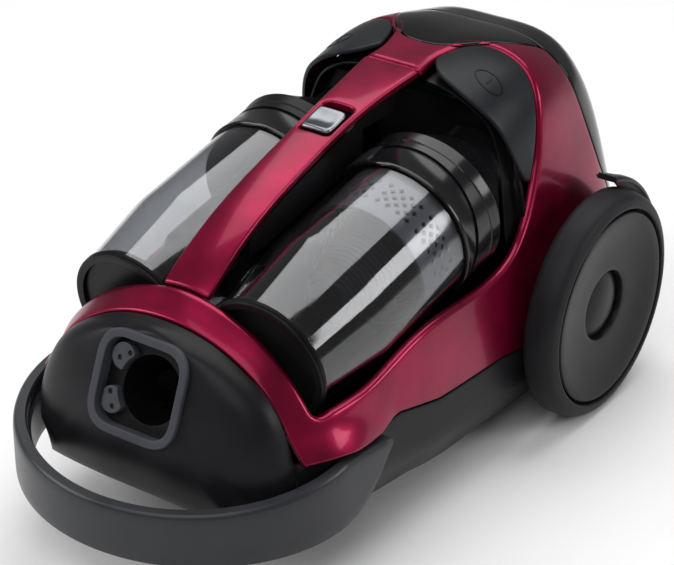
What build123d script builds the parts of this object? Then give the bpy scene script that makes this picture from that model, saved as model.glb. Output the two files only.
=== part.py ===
from build123d import *
import math
import os

# Canister vacuum cleaner. Millimetres, +Z up, front towards -Y, X = 0 is the plane of symmetry,
# Z = 0 is the floor, and the origin is the centre of the footprint box.

# Driving dimensions
WALL = 3.0                  # thickness of the moulded shells
SPLIT = 0.4                 # shut line between neighbouring covers
WHEEL_R = 80.0              # rear wheel
WHEEL_Y, WHEEL_Z = 140.0, 80.0
WHEEL_IN, WHEEL_OUT = 116.0, 141.0      # inner and outer faces of a rear wheel
DISC_R = 68.6               # wheel disc inside the tyre
AXLE_R = 5.0                # wheel axle
RUN = 0.05                  # radial clearance of a shaft in its bore
HOSE_R = 21.5               # bore of the hose inlet
HOSE_X = 5.5                # the inlet bore sits beside the contact sockets
INLET = (0.0, -187.5, 128.5)            # centre of the inlet's front face
INLET_TILT = 22.5           # lean of the inlet face, degrees
INLET_FRAME = (68.0, 65.0)  # outer width and height of the inlet's frame
LOOP_HALF, LOOP_DEEP = 118.0, 105.0     # half width and reach of the front handle
LOOP_Y, LOOP_T = -137.0, 12.0           # where the handle's curve starts, and its thickness
CUP_X, CUP_Y, CUP_Z = 52.0, -131.0, 138.0   # front end of a dust cup's axis
CUP_TILT = 10.5             # the cups rise towards the back, degrees
CUP_R0, CUP_R1 = 42.0, 50.0             # cup radius at the front end and from FLARE back
FLARE = 60.0                # length of the cup's flare
CUP_WALL = 2.0
BIN_END = 25.0              # upright rear face of everything on the lift-off bin, along Y
HOUSING_END = 100.0         # bulkhead between the dust bay and the motor room, along Y
DECK_Z = 89.0               # top of the dust bay's floor
BAY_FRONT, SPINE_END = -142.0, 79.0     # the dust cup bay, along Y
CASTER = (0.0, -110.0)      # swivel axis of the front caster
CASTER_R, CASTER_TRAIL = 16.0, 16.0
STEM_R = 9.0                # swivel stem
MOTOR = (-36.0, 112.0)      # axis of the motor, X and Z
REEL = (50.0, 158.0, 122.0) # centre of the cord reel
PEDAL_TRAVEL = 4.0
BUTTON_TRAVEL = 3.0

# Cross-sections of the closed hull: y, height of the flat bottom, then points from the crown
# down the right-hand side.
HULL = [
    (-160, 46, [(0, 163), (32, 159), (61, 146), (80, 130), (92, 108), (97, 88), (97, 68)]),
    (-140, 42, [(0, 178), (32, 172), (62, 158), (84, 138), (99, 116), (105, 92), (106, 66)]),
    (-90, 36, [(0, 206), (36, 198), (70, 178), (92, 151), (104, 122), (110, 90), (111, 60)]),
    (-35, 29, [(0, 224), (40, 216), (75, 192), (96, 158), (106, 124), (112, 84), (113, 54)]),
    (30, 23, [(0, 240), (43, 233), (75, 208), (94, 168), (104, 126), (112, 80), (113, 48)]),
    (90, 19, [(0, 248), (46, 244), (72, 226), (88, 186), (98, 138), (110, 84), (112, 46)]),
    (140, 18, [(0, 250), (48, 247), (72, 232), (87, 190), (98, 140), (108, 84), (110, 46)]),
    (190, 20, [(0, 242), (46, 237), (68, 220), (83, 182), (95, 138), (106, 88), (107, 50)]),
    (222, 28, [(0, 224), (42, 219), (62, 200), (77, 167), (88, 127), (97, 86), (97, 54)]),
    (240, 40, [(0, 192), (38, 187), (56, 172), (69, 148), (79, 116), (85, 84), (85, 60)]),
]
# Shut line between the painted frame and the base, in side view: (y, z)
RAIL_LINE = [(-260, 100), (-160, 96), (-133, 94), (-96, 89), (-71, 92), (-29, 82), (43, 76), (98, 67),
             (104, 98), (176, 98), (182, 66), (260, 66)]


def hull_section(y, bottom, points, inset):
    """One closed outline across the hull, drawn in by inset."""
    top, side = points[0][1], points[-1][0]
    middle = (top + bottom) / 2
    shrink_x, shrink_z = 1 - inset / side, 1 - inset / (top - middle)
    right = [(x * shrink_x, middle + (z - middle) * shrink_z) for x, z in points]
    floor = middle + (bottom - middle) * shrink_z
    curve = [(-x, y, z) for x, z in reversed(right[1:])] + [(x, y, z) for x, z in right]
    heel = right[-1][0] - 12
    return Wire([Spline(*curve), Line(curve[-1], (heel, y, floor)),
                 Line((heel, y, floor), (-heel, y, floor)), Line((-heel, y, floor), curve[0])])


def hull(inset=0.0):
    """The hull as one solid."""
    stations = [list(station) for station in HULL]
    stations[0][0] += inset
    stations[-1][0] -= inset
    return Solid.make_loft([hull_section(y, bottom, points, inset) for y, bottom, points in stations])


def side_prism(points, low, high):
    """A prism along X over a polygon in side view (y, z)."""
    face = make_face(Polyline(*[(low, y, z) for y, z in points], close=True))
    return extrude(face, amount=high - low, dir=(1, 0, 0))


def plan_prism(points, low, high):
    """A prism along Z over a polygon in plan view (x, y)."""
    face = make_face(Polyline(*[(x, y, low) for x, y in points], close=True))
    return extrude(face, amount=high - low, dir=(0, 0, 1))


def block(low, high):
    """A box from its low corner to its high corner."""
    size = [b - a for a, b in zip(low, high)]
    middle = [(a + b) / 2 for a, b in zip(low, high)]
    return Pos(*middle) * Box(*size)


def rod(start, direction, length, radius):
    """A cylinder from start along direction."""
    return Solid.make_cylinder(radius, length, Plane(origin=start, z_dir=direction))


def tube(start, direction, length, outer, inner):
    return rod(start, direction, length, outer) - rod(start, direction, length, inner)


def cone(start, direction, length, r0, r1):
    return Solid.make_cone(r0, r1, length, Plane(origin=start, z_dir=direction))


def mirrored(shape):
    return mirror(shape, about=Plane.YZ)


def joined(shapes):
    return Compound(children=[s for shape in shapes for s in shape.solids()])


def base_zone(gap=0.0):
    """Everything under the shut line between frame and base."""
    line = [(y, z - gap) for y, z in RAIL_LINE]
    return side_prism([(-260, -10)] + line + [(260, -10)], -160, 160)


def window():
    """Plan outline of the right-hand window, with the pedal's place at its rear."""
    return [(18, BAY_FRONT), (96, BAY_FRONT), (101, -136), (103, -120), (104, -30), (103, 30), (99, 75),
            (93, 105), (85, 125), (74, 136), (50, 139), (34, 133), (26, 120), (20, 96),
            (23, SPINE_END), (23, -30)]


def pedal_outline():
    return [(22, 97), (28, 119), (36, 131), (50, 137), (73, 134), (83, 124), (90, 108), (84, 92), (72, 84),
            (54, 80), (36, 84)]


def panel_outline(grow=0.0):
    """Plan outline of the glossy top panel."""
    right = [(14 + grow, 115), (27 + grow, 124), (36 + grow, 137), (46 + grow, 156), (53 + grow, 176)]
    return [(0, 113 - grow)] + right + [(-x, y) for x, y in reversed(right)]


def rear_zone():
    """Everything behind the shut line between the painted frame and the rear cover."""
    return side_prism([(176, 270), (176, 248), (190, 200), (205, 150), (222, 110), (222, 66),
                       (262, 66), (262, 270)], -160, 160)


# ---------------------------------------------------------------- shells

def shells():
    """The hull's wall, cut along its shut lines into its separate covers."""
    wall = hull() - hull(WALL)
    base = wall & base_zone(SPLIT)
    upper = wall - base_zone()
    rear = upper & rear_zone()
    rear_gap = Pos(0, -SPLIT, 0) * rear_zone()
    panel = (upper & plan_prism(panel_outline(), 200, 270)) - rear_gap
    pedal = (upper & plan_prism(pedal_outline(), 150, 270)) - base_zone()
    frame = upper - rear_gap - plan_prism(panel_outline(SPLIT), 200, 270)
    frame -= plan_prism(window(), 60, 270)
    frame -= mirrored(plan_prism(window(), 60, 270))
    frame -= block((-24, BAY_FRONT, 60), (24, SPINE_END, 270))
    spine_plan = [(-17.5, BAY_FRONT + 0.6), (17.5, BAY_FRONT + 0.6), (15.8, -60), (15.6, 20),
                  (21.5, SPINE_END - 0.6), (-21.5, SPINE_END - 0.6), (-15.6, 20), (-15.8, -60)]
    spine = (hull() - Pos(0, 0, -5) * hull()) & plan_prism(spine_plan, 150, 270)
    return base, frame, rear, panel, pedal, spine


def biggest(shape):
    return max(shape.solids(), key=lambda s: s.volume)


BASE, FRAME, REAR, PANEL, PEDAL, SPINE = [biggest(s) for s in shells()]
CAVITY = hull(WALL + 0.15)
OUTSIDE = hull()


def upper_frame():
    """Painted frame: front arch, side rails, shoulders and the tongue between the pedals."""
    return biggest(FRAME - inlet_bore(HOSE_R + 2.5, -60, 0))


SCREWS = [(x, y, z) for y, z, half in ((-70, 34, 78), (50, 22, 86), (205, 24.5, 55)) for x in (-half, half)]


def base_chassis():
    """Grey lower tray with the wheel bosses, the caster socket and the screw towers."""
    tray = BASE - block((-84, -166, 52), (84, -150, 91))
    x, y = CASTER
    tray += rod((x, y, 36), (0, 0, 1), 22, 16)
    tray -= rod((x, y, 20), (0, 0, 1), 60, STEM_R)
    for side in (-1, 1):
        tray += rod((side * 96, WHEEL_Y, WHEEL_Z), (side, 0, 0), 13, 13)
        tray -= rod((side * 90, WHEEL_Y, WHEEL_Z), (side, 0, 0), 40, AXLE_R)
        for px, py, pz in HANDLE_SCREWS:
            tray -= rod((side * (px - 30), py, pz), (side, 0, 0), 40, 2)
    for x, y, z in SCREWS:
        tray += rod((x, y, z), (0, 0, 1), 20, 6)
        tray -= rod((x, y, z - 8), (0, 0, 1), 10, 4.2)
        tray -= rod((x, y, z), (0, 0, 1), 30, 2)
    return biggest(tray - inlet_bore(HOSE_R + 2.5, -60, 0))


HANDLE_SCREWS = [(112.0, -118.0, 70.0), (112.0, -103.0, 78.0)]


# ---------------------------------------------------------------- nose and hose inlet

NOSE = [
    (-160.3, 46, HULL[0][2]),
    (-181, 50, [(0, 155), (27, 151), (48, 139), (64, 120), (75, 98), (80, 80), (80, 64)]),
    (-205, 60, [(0, 120), (20, 118), (34, 111), (42, 101), (46, 90), (48, 80), (48, 70)]),
]


def tilted(depth=0.0, x=0.0):
    """Plane of the inlet's face, moved out along its normal by depth."""
    lean = math.radians(INLET_TILT)
    normal = Vector(0, -math.cos(lean), math.sin(lean))
    return Plane(origin=Vector(*INLET) + normal * depth + Vector(x, 0, 0), x_dir=(1, 0, 0), z_dir=normal)


def inlet_slab(width, height, radius, low, high):
    face = tilted(low) * RectangleRounded(width, height, radius)
    return extrude(face, amount=high - low, dir=tilted().z_dir)


def inlet_bore(radius, low, high):
    return Solid.make_cylinder(radius, high - low, tilted(low, HOSE_X))


def nose_loft(inset):
    stations = [list(station) for station in NOSE]
    stations[-1][0] += inset
    return Solid.make_loft([hull_section(y, bottom, points, inset) for y, bottom, points in stations])


def nose_panel():
    """Charcoal nose: a hollow moulding cut off flat behind the inlet's frame."""
    front = inlet_slab(400, 400, 5, -1, 120)
    panel = (nose_loft(0) - front) - (nose_loft(WALL) - inlet_slab(400, 400, 5, -1 - WALL, 120))
    width, height = INLET_FRAME
    return biggest(panel - inlet_slab(width, height, 14, -9, 9))


POCKET = (57.0, 54.0)
CONTACTS = [(-19.5, 13.5), (-12.5, 18.0), (-21.0, -8.5), (-17.5, -17.0)]


def inlet_frame():
    """Mid-grey rounded frame with a sunk pocket, its floor bored for the hose cuff."""
    width, height = INLET_FRAME
    frame = inlet_slab(width, height, 14, -9, 3) - inlet_slab(*POCKET, 10, -6, 4)
    return frame - inlet_bore(HOSE_R, -10, 4)


def contact_sockets():
    """Two grey lobes beside the bore, each with two contact holes."""
    lobes = inlet_slab(*POCKET, 10, -6, -1) - inlet_bore(HOSE_R + 1, -10, 4)
    plane = tilted(-8)
    keep = [Solid.make_cylinder(9.5, 12, Plane(plane.from_local_coords((x, y, 0)), z_dir=plane.z_dir))
            for x, y in ((-16, 15), (-19, -13))]
    lobes = lobes & (keep[0] + keep[1])
    for x, y in CONTACTS:
        lobes -= Solid.make_cylinder(1.7, 12, Plane(plane.from_local_coords((x, y, 3.5)), z_dir=plane.z_dir))
    return joined([lobes])


def contact_pins():
    """Four brass contact sleeves at the bottom of their holes."""
    plane = tilted(-4.5)
    return joined([Solid.make_cylinder(1.2, 2.2, Plane(plane.from_local_coords((x, y, 0)), z_dir=plane.z_dir))
                   for x, y in CONTACTS])


def inlet_duct():
    """Tube that the hose cuff slides into."""
    return inlet_bore(HOSE_R + 2.5, -40, -9) - inlet_bore(HOSE_R, -41, -8)


def dust_channel():
    """Flat air channel under the dust bay's floor."""
    return block((-24, -141, 60), (24, 90, 84)) - block((-22, -150, 62), (22, 88, 82))


def front_handle():
    """Bow-shaped front handle whose arms lie along the sides of the base."""
    face = Ellipse(LOOP_HALF, LOOP_DEEP) - Ellipse(LOOP_HALF - LOOP_T, LOOP_DEEP - LOOP_T)
    bow = extrude(Pos(0, LOOP_Y, 0) * face, amount=140) & block((-130, -260, 0), (130, LOOP_Y, 140))
    for side in (-1, 1):
        ends = sorted((side * (LOOP_HALF - LOOP_T), side * LOOP_HALF))
        bow += block((ends[0], LOOP_Y, 0), (ends[1], -92, 140))
    band = side_prism([(-250, 45), (-137, 48), (-118, 54), (-105, 64), (-92, 80), (-92, 86), (-137, 91), (-250, 79)],
                      -130, 130)
    bow = biggest((bow & band) - OUTSIDE)
    for side in (-1, 1):
        for x, y, z in HANDLE_SCREWS:
            bow -= rod((side * (x - 4), y, z), (side, 0, 0), 12, 2)
            bow -= rod((side * (x + 4), y, z), (side, 0, 0), 6, 4)
    return biggest(bow)


def screws():
    """Six screws that close the base from below, and four through the handle's arms."""
    base = [rod((x, y, z + 0.2), (0, 0, 1), 1.8, 4) + rod((x, y, z + 1), (0, 0, 1), 14, 2)
            for x, y, z in SCREWS]
    arms = [rod((side * (x - 10), y, z), (side, 0, 0), 14.5, 2)
            + rod((side * (x + 4), y, z), (side, 0, 0), 1.6, 3.8)
            for side in (-1, 1) for x, y, z in HANDLE_SCREWS]
    return joined(base + arms)


# ---------------------------------------------------------------- dust bin

def along(distance, side=1):
    """Point on a cup's axis, a distance behind its front end."""
    lean = math.radians(CUP_TILT)
    return (side * CUP_X, CUP_Y + distance * math.cos(lean), CUP_Z + distance * math.sin(lean))


CUP_AXIS = (0, math.cos(math.radians(CUP_TILT)), math.sin(math.radians(CUP_TILT)))
BIN_ZONE = block((-130, -150, 60), (130, BIN_END - 3.2, 270))


def cup_solid(shrink=0.0, start=0.0):
    """Flared body of revolution that a cup's inner or outer wall follows."""
    flare = cone(along(start), CUP_AXIS, FLARE - start, CUP_R0 - shrink + (CUP_R1 - CUP_R0) * start / FLARE,
                 CUP_R1 - shrink)
    return flare + rod(along(FLARE), CUP_AXIS, 130, CUP_R1 - shrink)


def bin_cup():
    """Clear dust cup, open at both ends."""
    return biggest((cup_solid() - cup_solid(CUP_WALL) - rod(along(-5), CUP_AXIS, 8, 60)) & BIN_ZONE)


def bin_cap():
    """Smoky front cap with the double lip."""
    lip = rod(along(-2), CUP_AXIS, 5, CUP_R0 + 1.6) - rod(along(-3), CUP_AXIS, 4, CUP_R0 - 4)
    return lip + (tube(along(3), CUP_AXIS, 5, CUP_R0 - 1.7, CUP_R0 - 4.5))


def bin_collar():
    """Black band around the cup's rear end."""
    ring = rod(along(146), CUP_AXIS, 40, CUP_R1 + 1.4) - rod(along(144), CUP_AXIS, 44, CUP_R1 + 0.02)
    return biggest(ring & BIN_ZONE)


def bin_lid():
    """Upright rear wall of a cup with its air outlet."""
    slab = block((-130, BIN_END - 3, 60), (130, BIN_END, 270))
    disc = rod(along(60), CUP_AXIS, 140, CUP_R1) & slab
    x, _, z = along((BIN_END - CUP_Y) / CUP_AXIS[1])
    return disc - rod((x, BIN_END - 10, z), (0, 1, 0), 20, 18)


def bin_grille():
    """Silver perforated sleeve; the fine holes run in diamond patches round its front half."""
    sleeve = cone(along(106), CUP_AXIS, 26, 44, 46) + rod(along(132), CUP_AXIS, 14, 46)
    return sleeve - cone(along(105.5), CUP_AXIS, 27, 42.6, 44.6) - rod(along(130), CUP_AXIS, 20, 44.6)


def cyclone_cone():
    """Ribbed inner cone that the dust swirls round."""
    core = cone(along(64), CUP_AXIS, 42, 17, 27) - cone(along(63), CUP_AXIS, 44, 14.6, 24.6)
    for turn in range(5):
        start = 67 + turn * 8
        radius = 17 + (start - 64) * 10 / 42
        core += tube(along(start), CUP_AXIS, 2, radius + 2.5, radius - 1)
    return core


def cyclone_throat():
    """Tapered black throat with the flange that carries the silver sleeve at its rear."""
    throat = cone(along(106), CUP_AXIS, 32, 27, 36) + rod(along(137), CUP_AXIS, 4, 44.6)
    return throat - cone(along(105), CUP_AXIS, 33, 24.6, 33.6) - rod(along(136), CUP_AXIS, 6, 24)


def second_cyclone():
    """Slim vortex finder of the left-hand cup on its flange."""
    finder = rod(along(60), CUP_AXIS, 78, 22) + rod(along(137), CUP_AXIS, 4, 47.9)
    return mirrored(finder - rod(along(59), CUP_AXIS, 90, 19))


BUTTON = ((-11.5, -10.0), (11.5, 13.0))     # plan corners of the latch button


def bin_spine():
    """Painted carry handle that runs over the two cups, with the button's slot and finger recess."""
    (x0, y0), (x1, y1) = BUTTON
    gap = 0.6
    return biggest(SPINE - block((x0 - gap, y0 - gap, 200), (x1 + gap, y1 + 8, 270)))


def bin_bridge():
    """Black bridge that ties both cups to the carry handle."""
    web = block((-14, -95, 180), (14, 66, 250)) & (Pos(0, 0, -8.6) * OUTSIDE)
    web -= block((-12.3, -10.8, 219), (12.3, 21.2, 260))
    web -= block((-20, BIN_END, 100), (20, 70, 222))
    cups = rod(along(-5), CUP_AXIS, 190, CUP_R1 + 1.7)
    return biggest(web - cups - mirrored(cups))


def latch_button():
    """Chromed saddle-shaped push button on the carry handle."""
    (x0, y0), (x1, y1) = BUTTON
    cap = hull(-2.2) & block((x0, y0, 229.5), (x1, y1, 270))
    return cap - block((x0 + 3, y0 + 3, 229), (x1 - 3, y1 - 3, 231.5))


def latch_spring():
    return tube((0, 2, 219), (0, 0, 1), 12.5, 4, 3)


# ---------------------------------------------------------------- dust bay and motor room

def pedal_travel():
    """Space under both pedals that stays clear while they are pressed."""
    space = plan_prism(pedal_outline(), 150, 270) - hull(WALL + PEDAL_TRAVEL + 1.4)
    return space + mirrored(space)


def bay_deck():
    """Floor of the dust bay."""
    return CAVITY & block((-120, -141.5, DECK_Z - 3), (120, HOUSING_END - 0.2, DECK_Z))


def bulkhead():
    """Wall between the dust bay and the motor room."""
    wall = CAVITY & block((-120, HOUSING_END, 24), (120, HOUSING_END + 3, 220))
    return wall - rod((MOTOR[0], HOUSING_END - 5, MOTOR[1]), (0, 1, 0), 20, 18) - pedal_travel()


def filter_housing():
    """Dark collar behind a cup that leads the cleaned air to the motor room."""
    start = (BIN_END - CUP_Y) / CUP_AXIS[1]
    body = rod(along(start - 14), CUP_AXIS, 184 - start + 14, CUP_R1 + 1.4)
    body += cone(along(184), CUP_AXIS, 38, CUP_R1 + 1.4, 27) + rod(along(222), CUP_AXIS, 40, 27)
    body -= rod(along(start - 15), CUP_AXIS, 184 - start + 15, CUP_R1 - 1.6)
    body -= cone(along(184), CUP_AXIS, 38, CUP_R1 - 1.6, 24) + rod(along(221), CUP_AXIS, 45, 24)
    ring = tube(along(178), CUP_AXIS, 6, CUP_R1 + 2.4, CUP_R1 - 1)
    housing = (body + ring) & block((-130, BIN_END + 0.6, 60), (130, HOUSING_END - 0.3, 270))
    return biggest(housing - pedal_travel())


def motor_tube(y0, y1, outer, inner):
    x, z = MOTOR
    return tube((x, y0, z), (0, 1, 0), y1 - y0, outer, inner)


def motor_front():
    return motor_tube(110, 150, 46, 43) + motor_tube(128, 131, 44, 4 + RUN)


def motor_rear():
    return motor_tube(150, 200, 46, 43) + motor_tube(197, 200, 44, 4 + RUN)


def motor_stator():
    return motor_tube(140, 180, 43, 25)


def motor_rotor():
    x, z = MOTOR
    return rod((x, 113, z), (0, 1, 0), 89, 4) + rod((x, 141, z), (0, 1, 0), 38, 24)


def impeller():
    """Fan wheel with curved-back blades between its two discs."""
    x, z = MOTOR
    fan = motor_tube(114, 116, 40, 4) + motor_tube(124, 126, 40, 14) + motor_tube(115, 126, 7, 4)
    for turn in range(9):
        blade = Pos(x + 22, 120, z) * Rot(0, 25, 0) * Box(30, 9, 1.6)
        fan += blade.rotate(Axis((x, 0, z), (0, 1, 0)), turn * 40)
    return biggest(fan)


def motor_mounts():
    """Rubber rings that hold the motor at both ends."""
    return joined([motor_tube(HOUSING_END + 3, 110, 46, 34), motor_tube(200, 206, 30, 12)])


def pre_motor_filter():
    return motor_tube(88, HOUSING_END - 0.3, 20, 0.5)


def exhaust_filter():
    """Pleated pack in front of the exhaust grille."""
    pleats = [(-31, 212)]
    for turn in range(15):
        pleats += [(-31 + turn * 4 + 2, 224), (-31 + turn * 4 + 4, 214)]
    outline = pleats + [(31, 212), (31, 210), (-31, 210)]
    return plan_prism([(x, y) for x, y in outline[1:]], 92, 148)


GRILLE = (-33.4, 86.6, 33.4, 153.4)     # x and z limits of the exhaust grille


def exhaust_grille():
    """Lift-off louvred exhaust cover."""
    x0, z0, x1, z1 = GRILLE
    plate = block((x0, 236.5, z0), (x1, 241.5, z1))
    for row in range(8):
        z = z0 + 6 + row * 7.2
        plate -= block((x0 + 6, 230, z), (x1 - 6, 250, z + 4))
    return plate


def rear_cover():
    """Black rear cover with the exhaust window and the cord hole."""
    x0, z0, x1, z1 = GRILLE
    cover = REAR - block((x0 - 0.6, 226, z0 - 0.6), (x1 + 0.6, 250, z1 + 0.6))
    return cover - rod((58, 220, 104), (0, 1, 0), 40, 8)


def cord_outlet():
    """Grommet that the mains cord comes out through."""
    return tube((58, 236, 104), (0, 1, 0), 4.5, 8, 5) + tube((58, 240, 104), (0, 1, 0), 1.8, 10.5, 5)


def reel_part(x0, x1, outer, inner):
    return tube((x0, REEL[1], REEL[2]), (1, 0, 0), x1 - x0, outer, inner)


def reel_drum():
    """Cord reel with two flanges and a hub web."""
    return (reel_part(27, 63, 28, 24) + reel_part(25, 27, 50, 20) + reel_part(63, 65, 50, 20)
            + reel_part(44, 47, 25, 4 + RUN))


def reel_shaft():
    return rod((18, REEL[1], REEL[2]), (1, 0, 0), 54, 4)


def reel_spring():
    return reel_part(29, 41, 19, 7)


def reel_brackets():
    plates = [CAVITY & block((x, 143, 20), (x + 3, 173, 134)) for x in (19, 68)]
    return joined([plate - reel_shaft() for plate in plates])


def control_board():
    board = block((-34, 130, 206), (34, 176, 207.6))
    for x, y, size in ((-20, 145, 10), (4, 150, 14), (22, 140, 7)):
        board += block((x, y, 207.6), (x + size, y + size, 207.6 + size * 0.7))
    return board


# ---------------------------------------------------------------- wheels

def spun(points, bow=None):
    """Revolve a half profile of (x, radius) about a rear wheel's axle; bow is one bulging arc."""
    place = [(x, WHEEL_Y + r, WHEEL_Z) for x, r in points]
    if bow:
        index, (bx, br) = bow
        edges = [Line(a, b) for k, (a, b) in enumerate(zip(place, place[1:] + place[:1])) if k != index]
        arc = ThreePointArc(place[index], (bx, WHEEL_Y + br, WHEEL_Z), place[(index + 1) % len(place)])
        face = make_face(edges + [arc])
    else:
        face = make_face(Polyline(*place, close=True))
    return revolve(face, Axis((0, WHEEL_Y, WHEEL_Z), (1, 0, 0)), 360)


def wheel_disc():
    """Dished wheel disc on its hub."""
    bore = AXLE_R + RUN
    return spun([(117, bore), (117, 14), (121, 20), (121, 60), (118, 64), (118, DISC_R - 0.2),
                 (138.2, DISC_R - 0.2), (139.6, DISC_R - 1.4), (134.6, 25.4), (133, 24.4), (129.5, 24.4),
                 (129.5, bore)], (7, (135.2, 46)))


def tyre():
    return spun([(118, DISC_R - 0.2), (117, 72), (WHEEL_IN + 1, 77), (119.5, WHEEL_R), (133, WHEEL_R),
                 (140.6, 70.6), (139.4, DISC_R + 0.8), (136, DISC_R + 0.8), (136, DISC_R - 0.2)],
                (4, (138.6, 76.4)))


def hub_cap():
    return spun([(129.7, 0), (129.7, 24.2), (131.2, 24.2), (135.6, 3), (135.6, 0)], (2, (134.4, 14)))


def axle():
    return rod((96, WHEEL_Y, WHEEL_Z), (1, 0, 0), 33.3, AXLE_R)


def wheel_guard():
    """Curved guard over the top and rear of a wheel, ending in a small heel."""
    reach = [(WHEEL_Y + 130 * math.cos(a), WHEEL_Z + 130 * math.sin(a))
             for a in [math.radians(d) for d in (-8, 20, 45, 72)]]
    arc = tube((90, WHEEL_Y, WHEEL_Z), (1, 0, 0), 37, 88, 84) & side_prism([(WHEEL_Y, WHEEL_Z)] + reach, 80, 140)
    heel = block((112, 222, 50), (127, 232, 78)) - rod((80, WHEEL_Y, WHEEL_Z), (1, 0, 0), 70, 84)
    return biggest((arc + heel) - OUTSIDE)


def caster_fork():
    x, y = CASTER
    fork = rod((x, y, 32.8), (0, 0, 1), 2.8, 17) + rod((x, y, 32.8), (0, 0, 1), 22, STEM_R - RUN)
    for side in (-1, 1):
        near, far = sorted((side * 9, side * 12))
        fork += block((near, y - 6, 24), (far, y + 12, 34)) + block((near, y + 6, 10), (far, y + 24, 34))
    return fork - rod((-20, y + CASTER_TRAIL, CASTER_R), (1, 0, 0), 40, 2.5)


def caster_axle():
    return rod((-12, CASTER[1] + CASTER_TRAIL, CASTER_R), (1, 0, 0), 24, 2.5)


def caster_wheel():
    y = CASTER[1] + CASTER_TRAIL
    return tube((-8, y, CASTER_R), (1, 0, 0), 16, 13, 2.5 + RUN)


def caster_tyre():
    y = CASTER[1] + CASTER_TRAIL
    return tube((-7, y, CASTER_R), (1, 0, 0), 14, CASTER_R, 13)


# ---------------------------------------------------------------- pedals

PEDAL_STEM = (54.0, 112.0)


def pedal():
    """Foot pedal: a cover plate on a guided stem with a spring flange."""
    x, y = PEDAL_STEM
    stem = rod((x, y, 229), (0, 0, 1), 12, 3.5) + rod((x, y, 236), (0, 0, 1), 5, 7)
    return biggest(PEDAL + (stem & OUTSIDE))


def pedal_spring():
    x, y = PEDAL_STEM
    return tube((x, y, 225), (0, 0, 1), 11, 6, 4.5)


def pedal_seat():
    """Bracket under a pedal with the stem's guide."""
    x, y = PEDAL_STEM
    seat = block((x - 10, y - 6, 222), (x + 10, y + 10, 225)) + block((x - 10, y + 7, 205), (x + 10, y + 10, 225))
    return seat


NODES = {
    "upper_frame": upper_frame(),
    "base_chassis": base_chassis(),
    "nose_panel": nose_panel(),
    "inlet_frame": inlet_frame(),
    "contact_sockets": contact_sockets(),
    "contact_pins": contact_pins(),
    "inlet_duct": inlet_duct(),
    "dust_channel": dust_channel(),
    "front_handle": front_handle(),
    "screws": screws(),
    "rear_cover": rear_cover(),
    "exhaust_grille": exhaust_grille(),
    "exhaust_filter": exhaust_filter(),
    "cord_outlet": cord_outlet(),
    "top_panel": PANEL,
    "control_board": control_board(),
    "bay_deck": bay_deck(),
    "bulkhead": bulkhead(),
    "motor_front": motor_front(),
    "motor_rear": motor_rear(),
    "motor_stator": motor_stator(),
    "motor_rotor": motor_rotor(),
    "impeller": impeller(),
    "motor_mounts": motor_mounts(),
    "pre_motor_filter": pre_motor_filter(),
    "reel_drum": reel_drum(),
    "reel_shaft": reel_shaft(),
    "reel_spring": reel_spring(),
    "reel_brackets": reel_brackets(),
    "bin_spine": bin_spine(),
    "bin_bridge": bin_bridge(),
    "latch_button": latch_button(),
    "latch_spring": latch_spring(),
    "bin_grille": bin_grille(),
    "cyclone_cone": cyclone_cone(),
    "cyclone_throat": cyclone_throat(),
    "second_cyclone": second_cyclone(),
    "caster_fork": caster_fork(),
    "caster_axle": caster_axle(),
    "caster_wheel": caster_wheel(),
    "caster_tyre": caster_tyre(),
}
PAIRS = {"bin_cup": bin_cup, "wheel_disc": wheel_disc, "tyre": tyre, "hub_cap": hub_cap, "pedal": pedal,
         "pedal_spring": pedal_spring}
SHARED_PAIRS = {"bin_caps": bin_cap, "bin_collars": bin_collar, "bin_lids": bin_lid,
                "filter_housings": filter_housing, "wheel_guards": wheel_guard, "wheel_axles": axle,
                "pedal_seats": pedal_seat}

for name, make in PAIRS.items():
    right = make()
    NODES[name + "_right"] = right
    NODES[name + "_left"] = mirrored(right)
for name, make in SHARED_PAIRS.items():
    right = make()
    NODES[name] = joined([right, mirrored(right)])

os.makedirs("parts", exist_ok=True)
for name, shape in NODES.items():
    export_step(shape if len(shape.solids()) > 1 else biggest(shape), f"parts/{name}.step")
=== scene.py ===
"""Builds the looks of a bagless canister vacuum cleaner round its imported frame."""
import math

import bmesh
import bpy
import numpy as np
from mathutils import Matrix, Vector
from mathutils.geometry import delaunay_2d_cdt


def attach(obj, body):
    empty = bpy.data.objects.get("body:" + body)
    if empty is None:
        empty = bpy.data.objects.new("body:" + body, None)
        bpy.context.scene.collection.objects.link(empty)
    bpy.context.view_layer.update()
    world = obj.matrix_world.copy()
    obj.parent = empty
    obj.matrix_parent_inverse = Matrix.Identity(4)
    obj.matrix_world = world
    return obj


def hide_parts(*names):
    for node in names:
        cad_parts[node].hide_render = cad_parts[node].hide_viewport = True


bl_info = {
    "name": "Canister Vacuum Cleaner",
    "version": (1, 0, 0),
    "blender": (4, 5, 0),
    "location": "3D View > Sidebar > Vacuum",
    "description": "Builds the visible pieces of a twin-cup canister vacuum cleaner",
    "category": "Add Mesh",
}

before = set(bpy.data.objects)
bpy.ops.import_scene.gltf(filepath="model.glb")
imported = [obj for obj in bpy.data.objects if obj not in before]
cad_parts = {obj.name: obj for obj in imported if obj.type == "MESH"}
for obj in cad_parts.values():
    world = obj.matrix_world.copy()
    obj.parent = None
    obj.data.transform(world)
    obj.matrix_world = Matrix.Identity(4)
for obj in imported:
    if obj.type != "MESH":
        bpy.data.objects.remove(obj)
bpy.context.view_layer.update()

MM = 0.001

# ------------------------------------------------------------------ sizes, in millimetres

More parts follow.
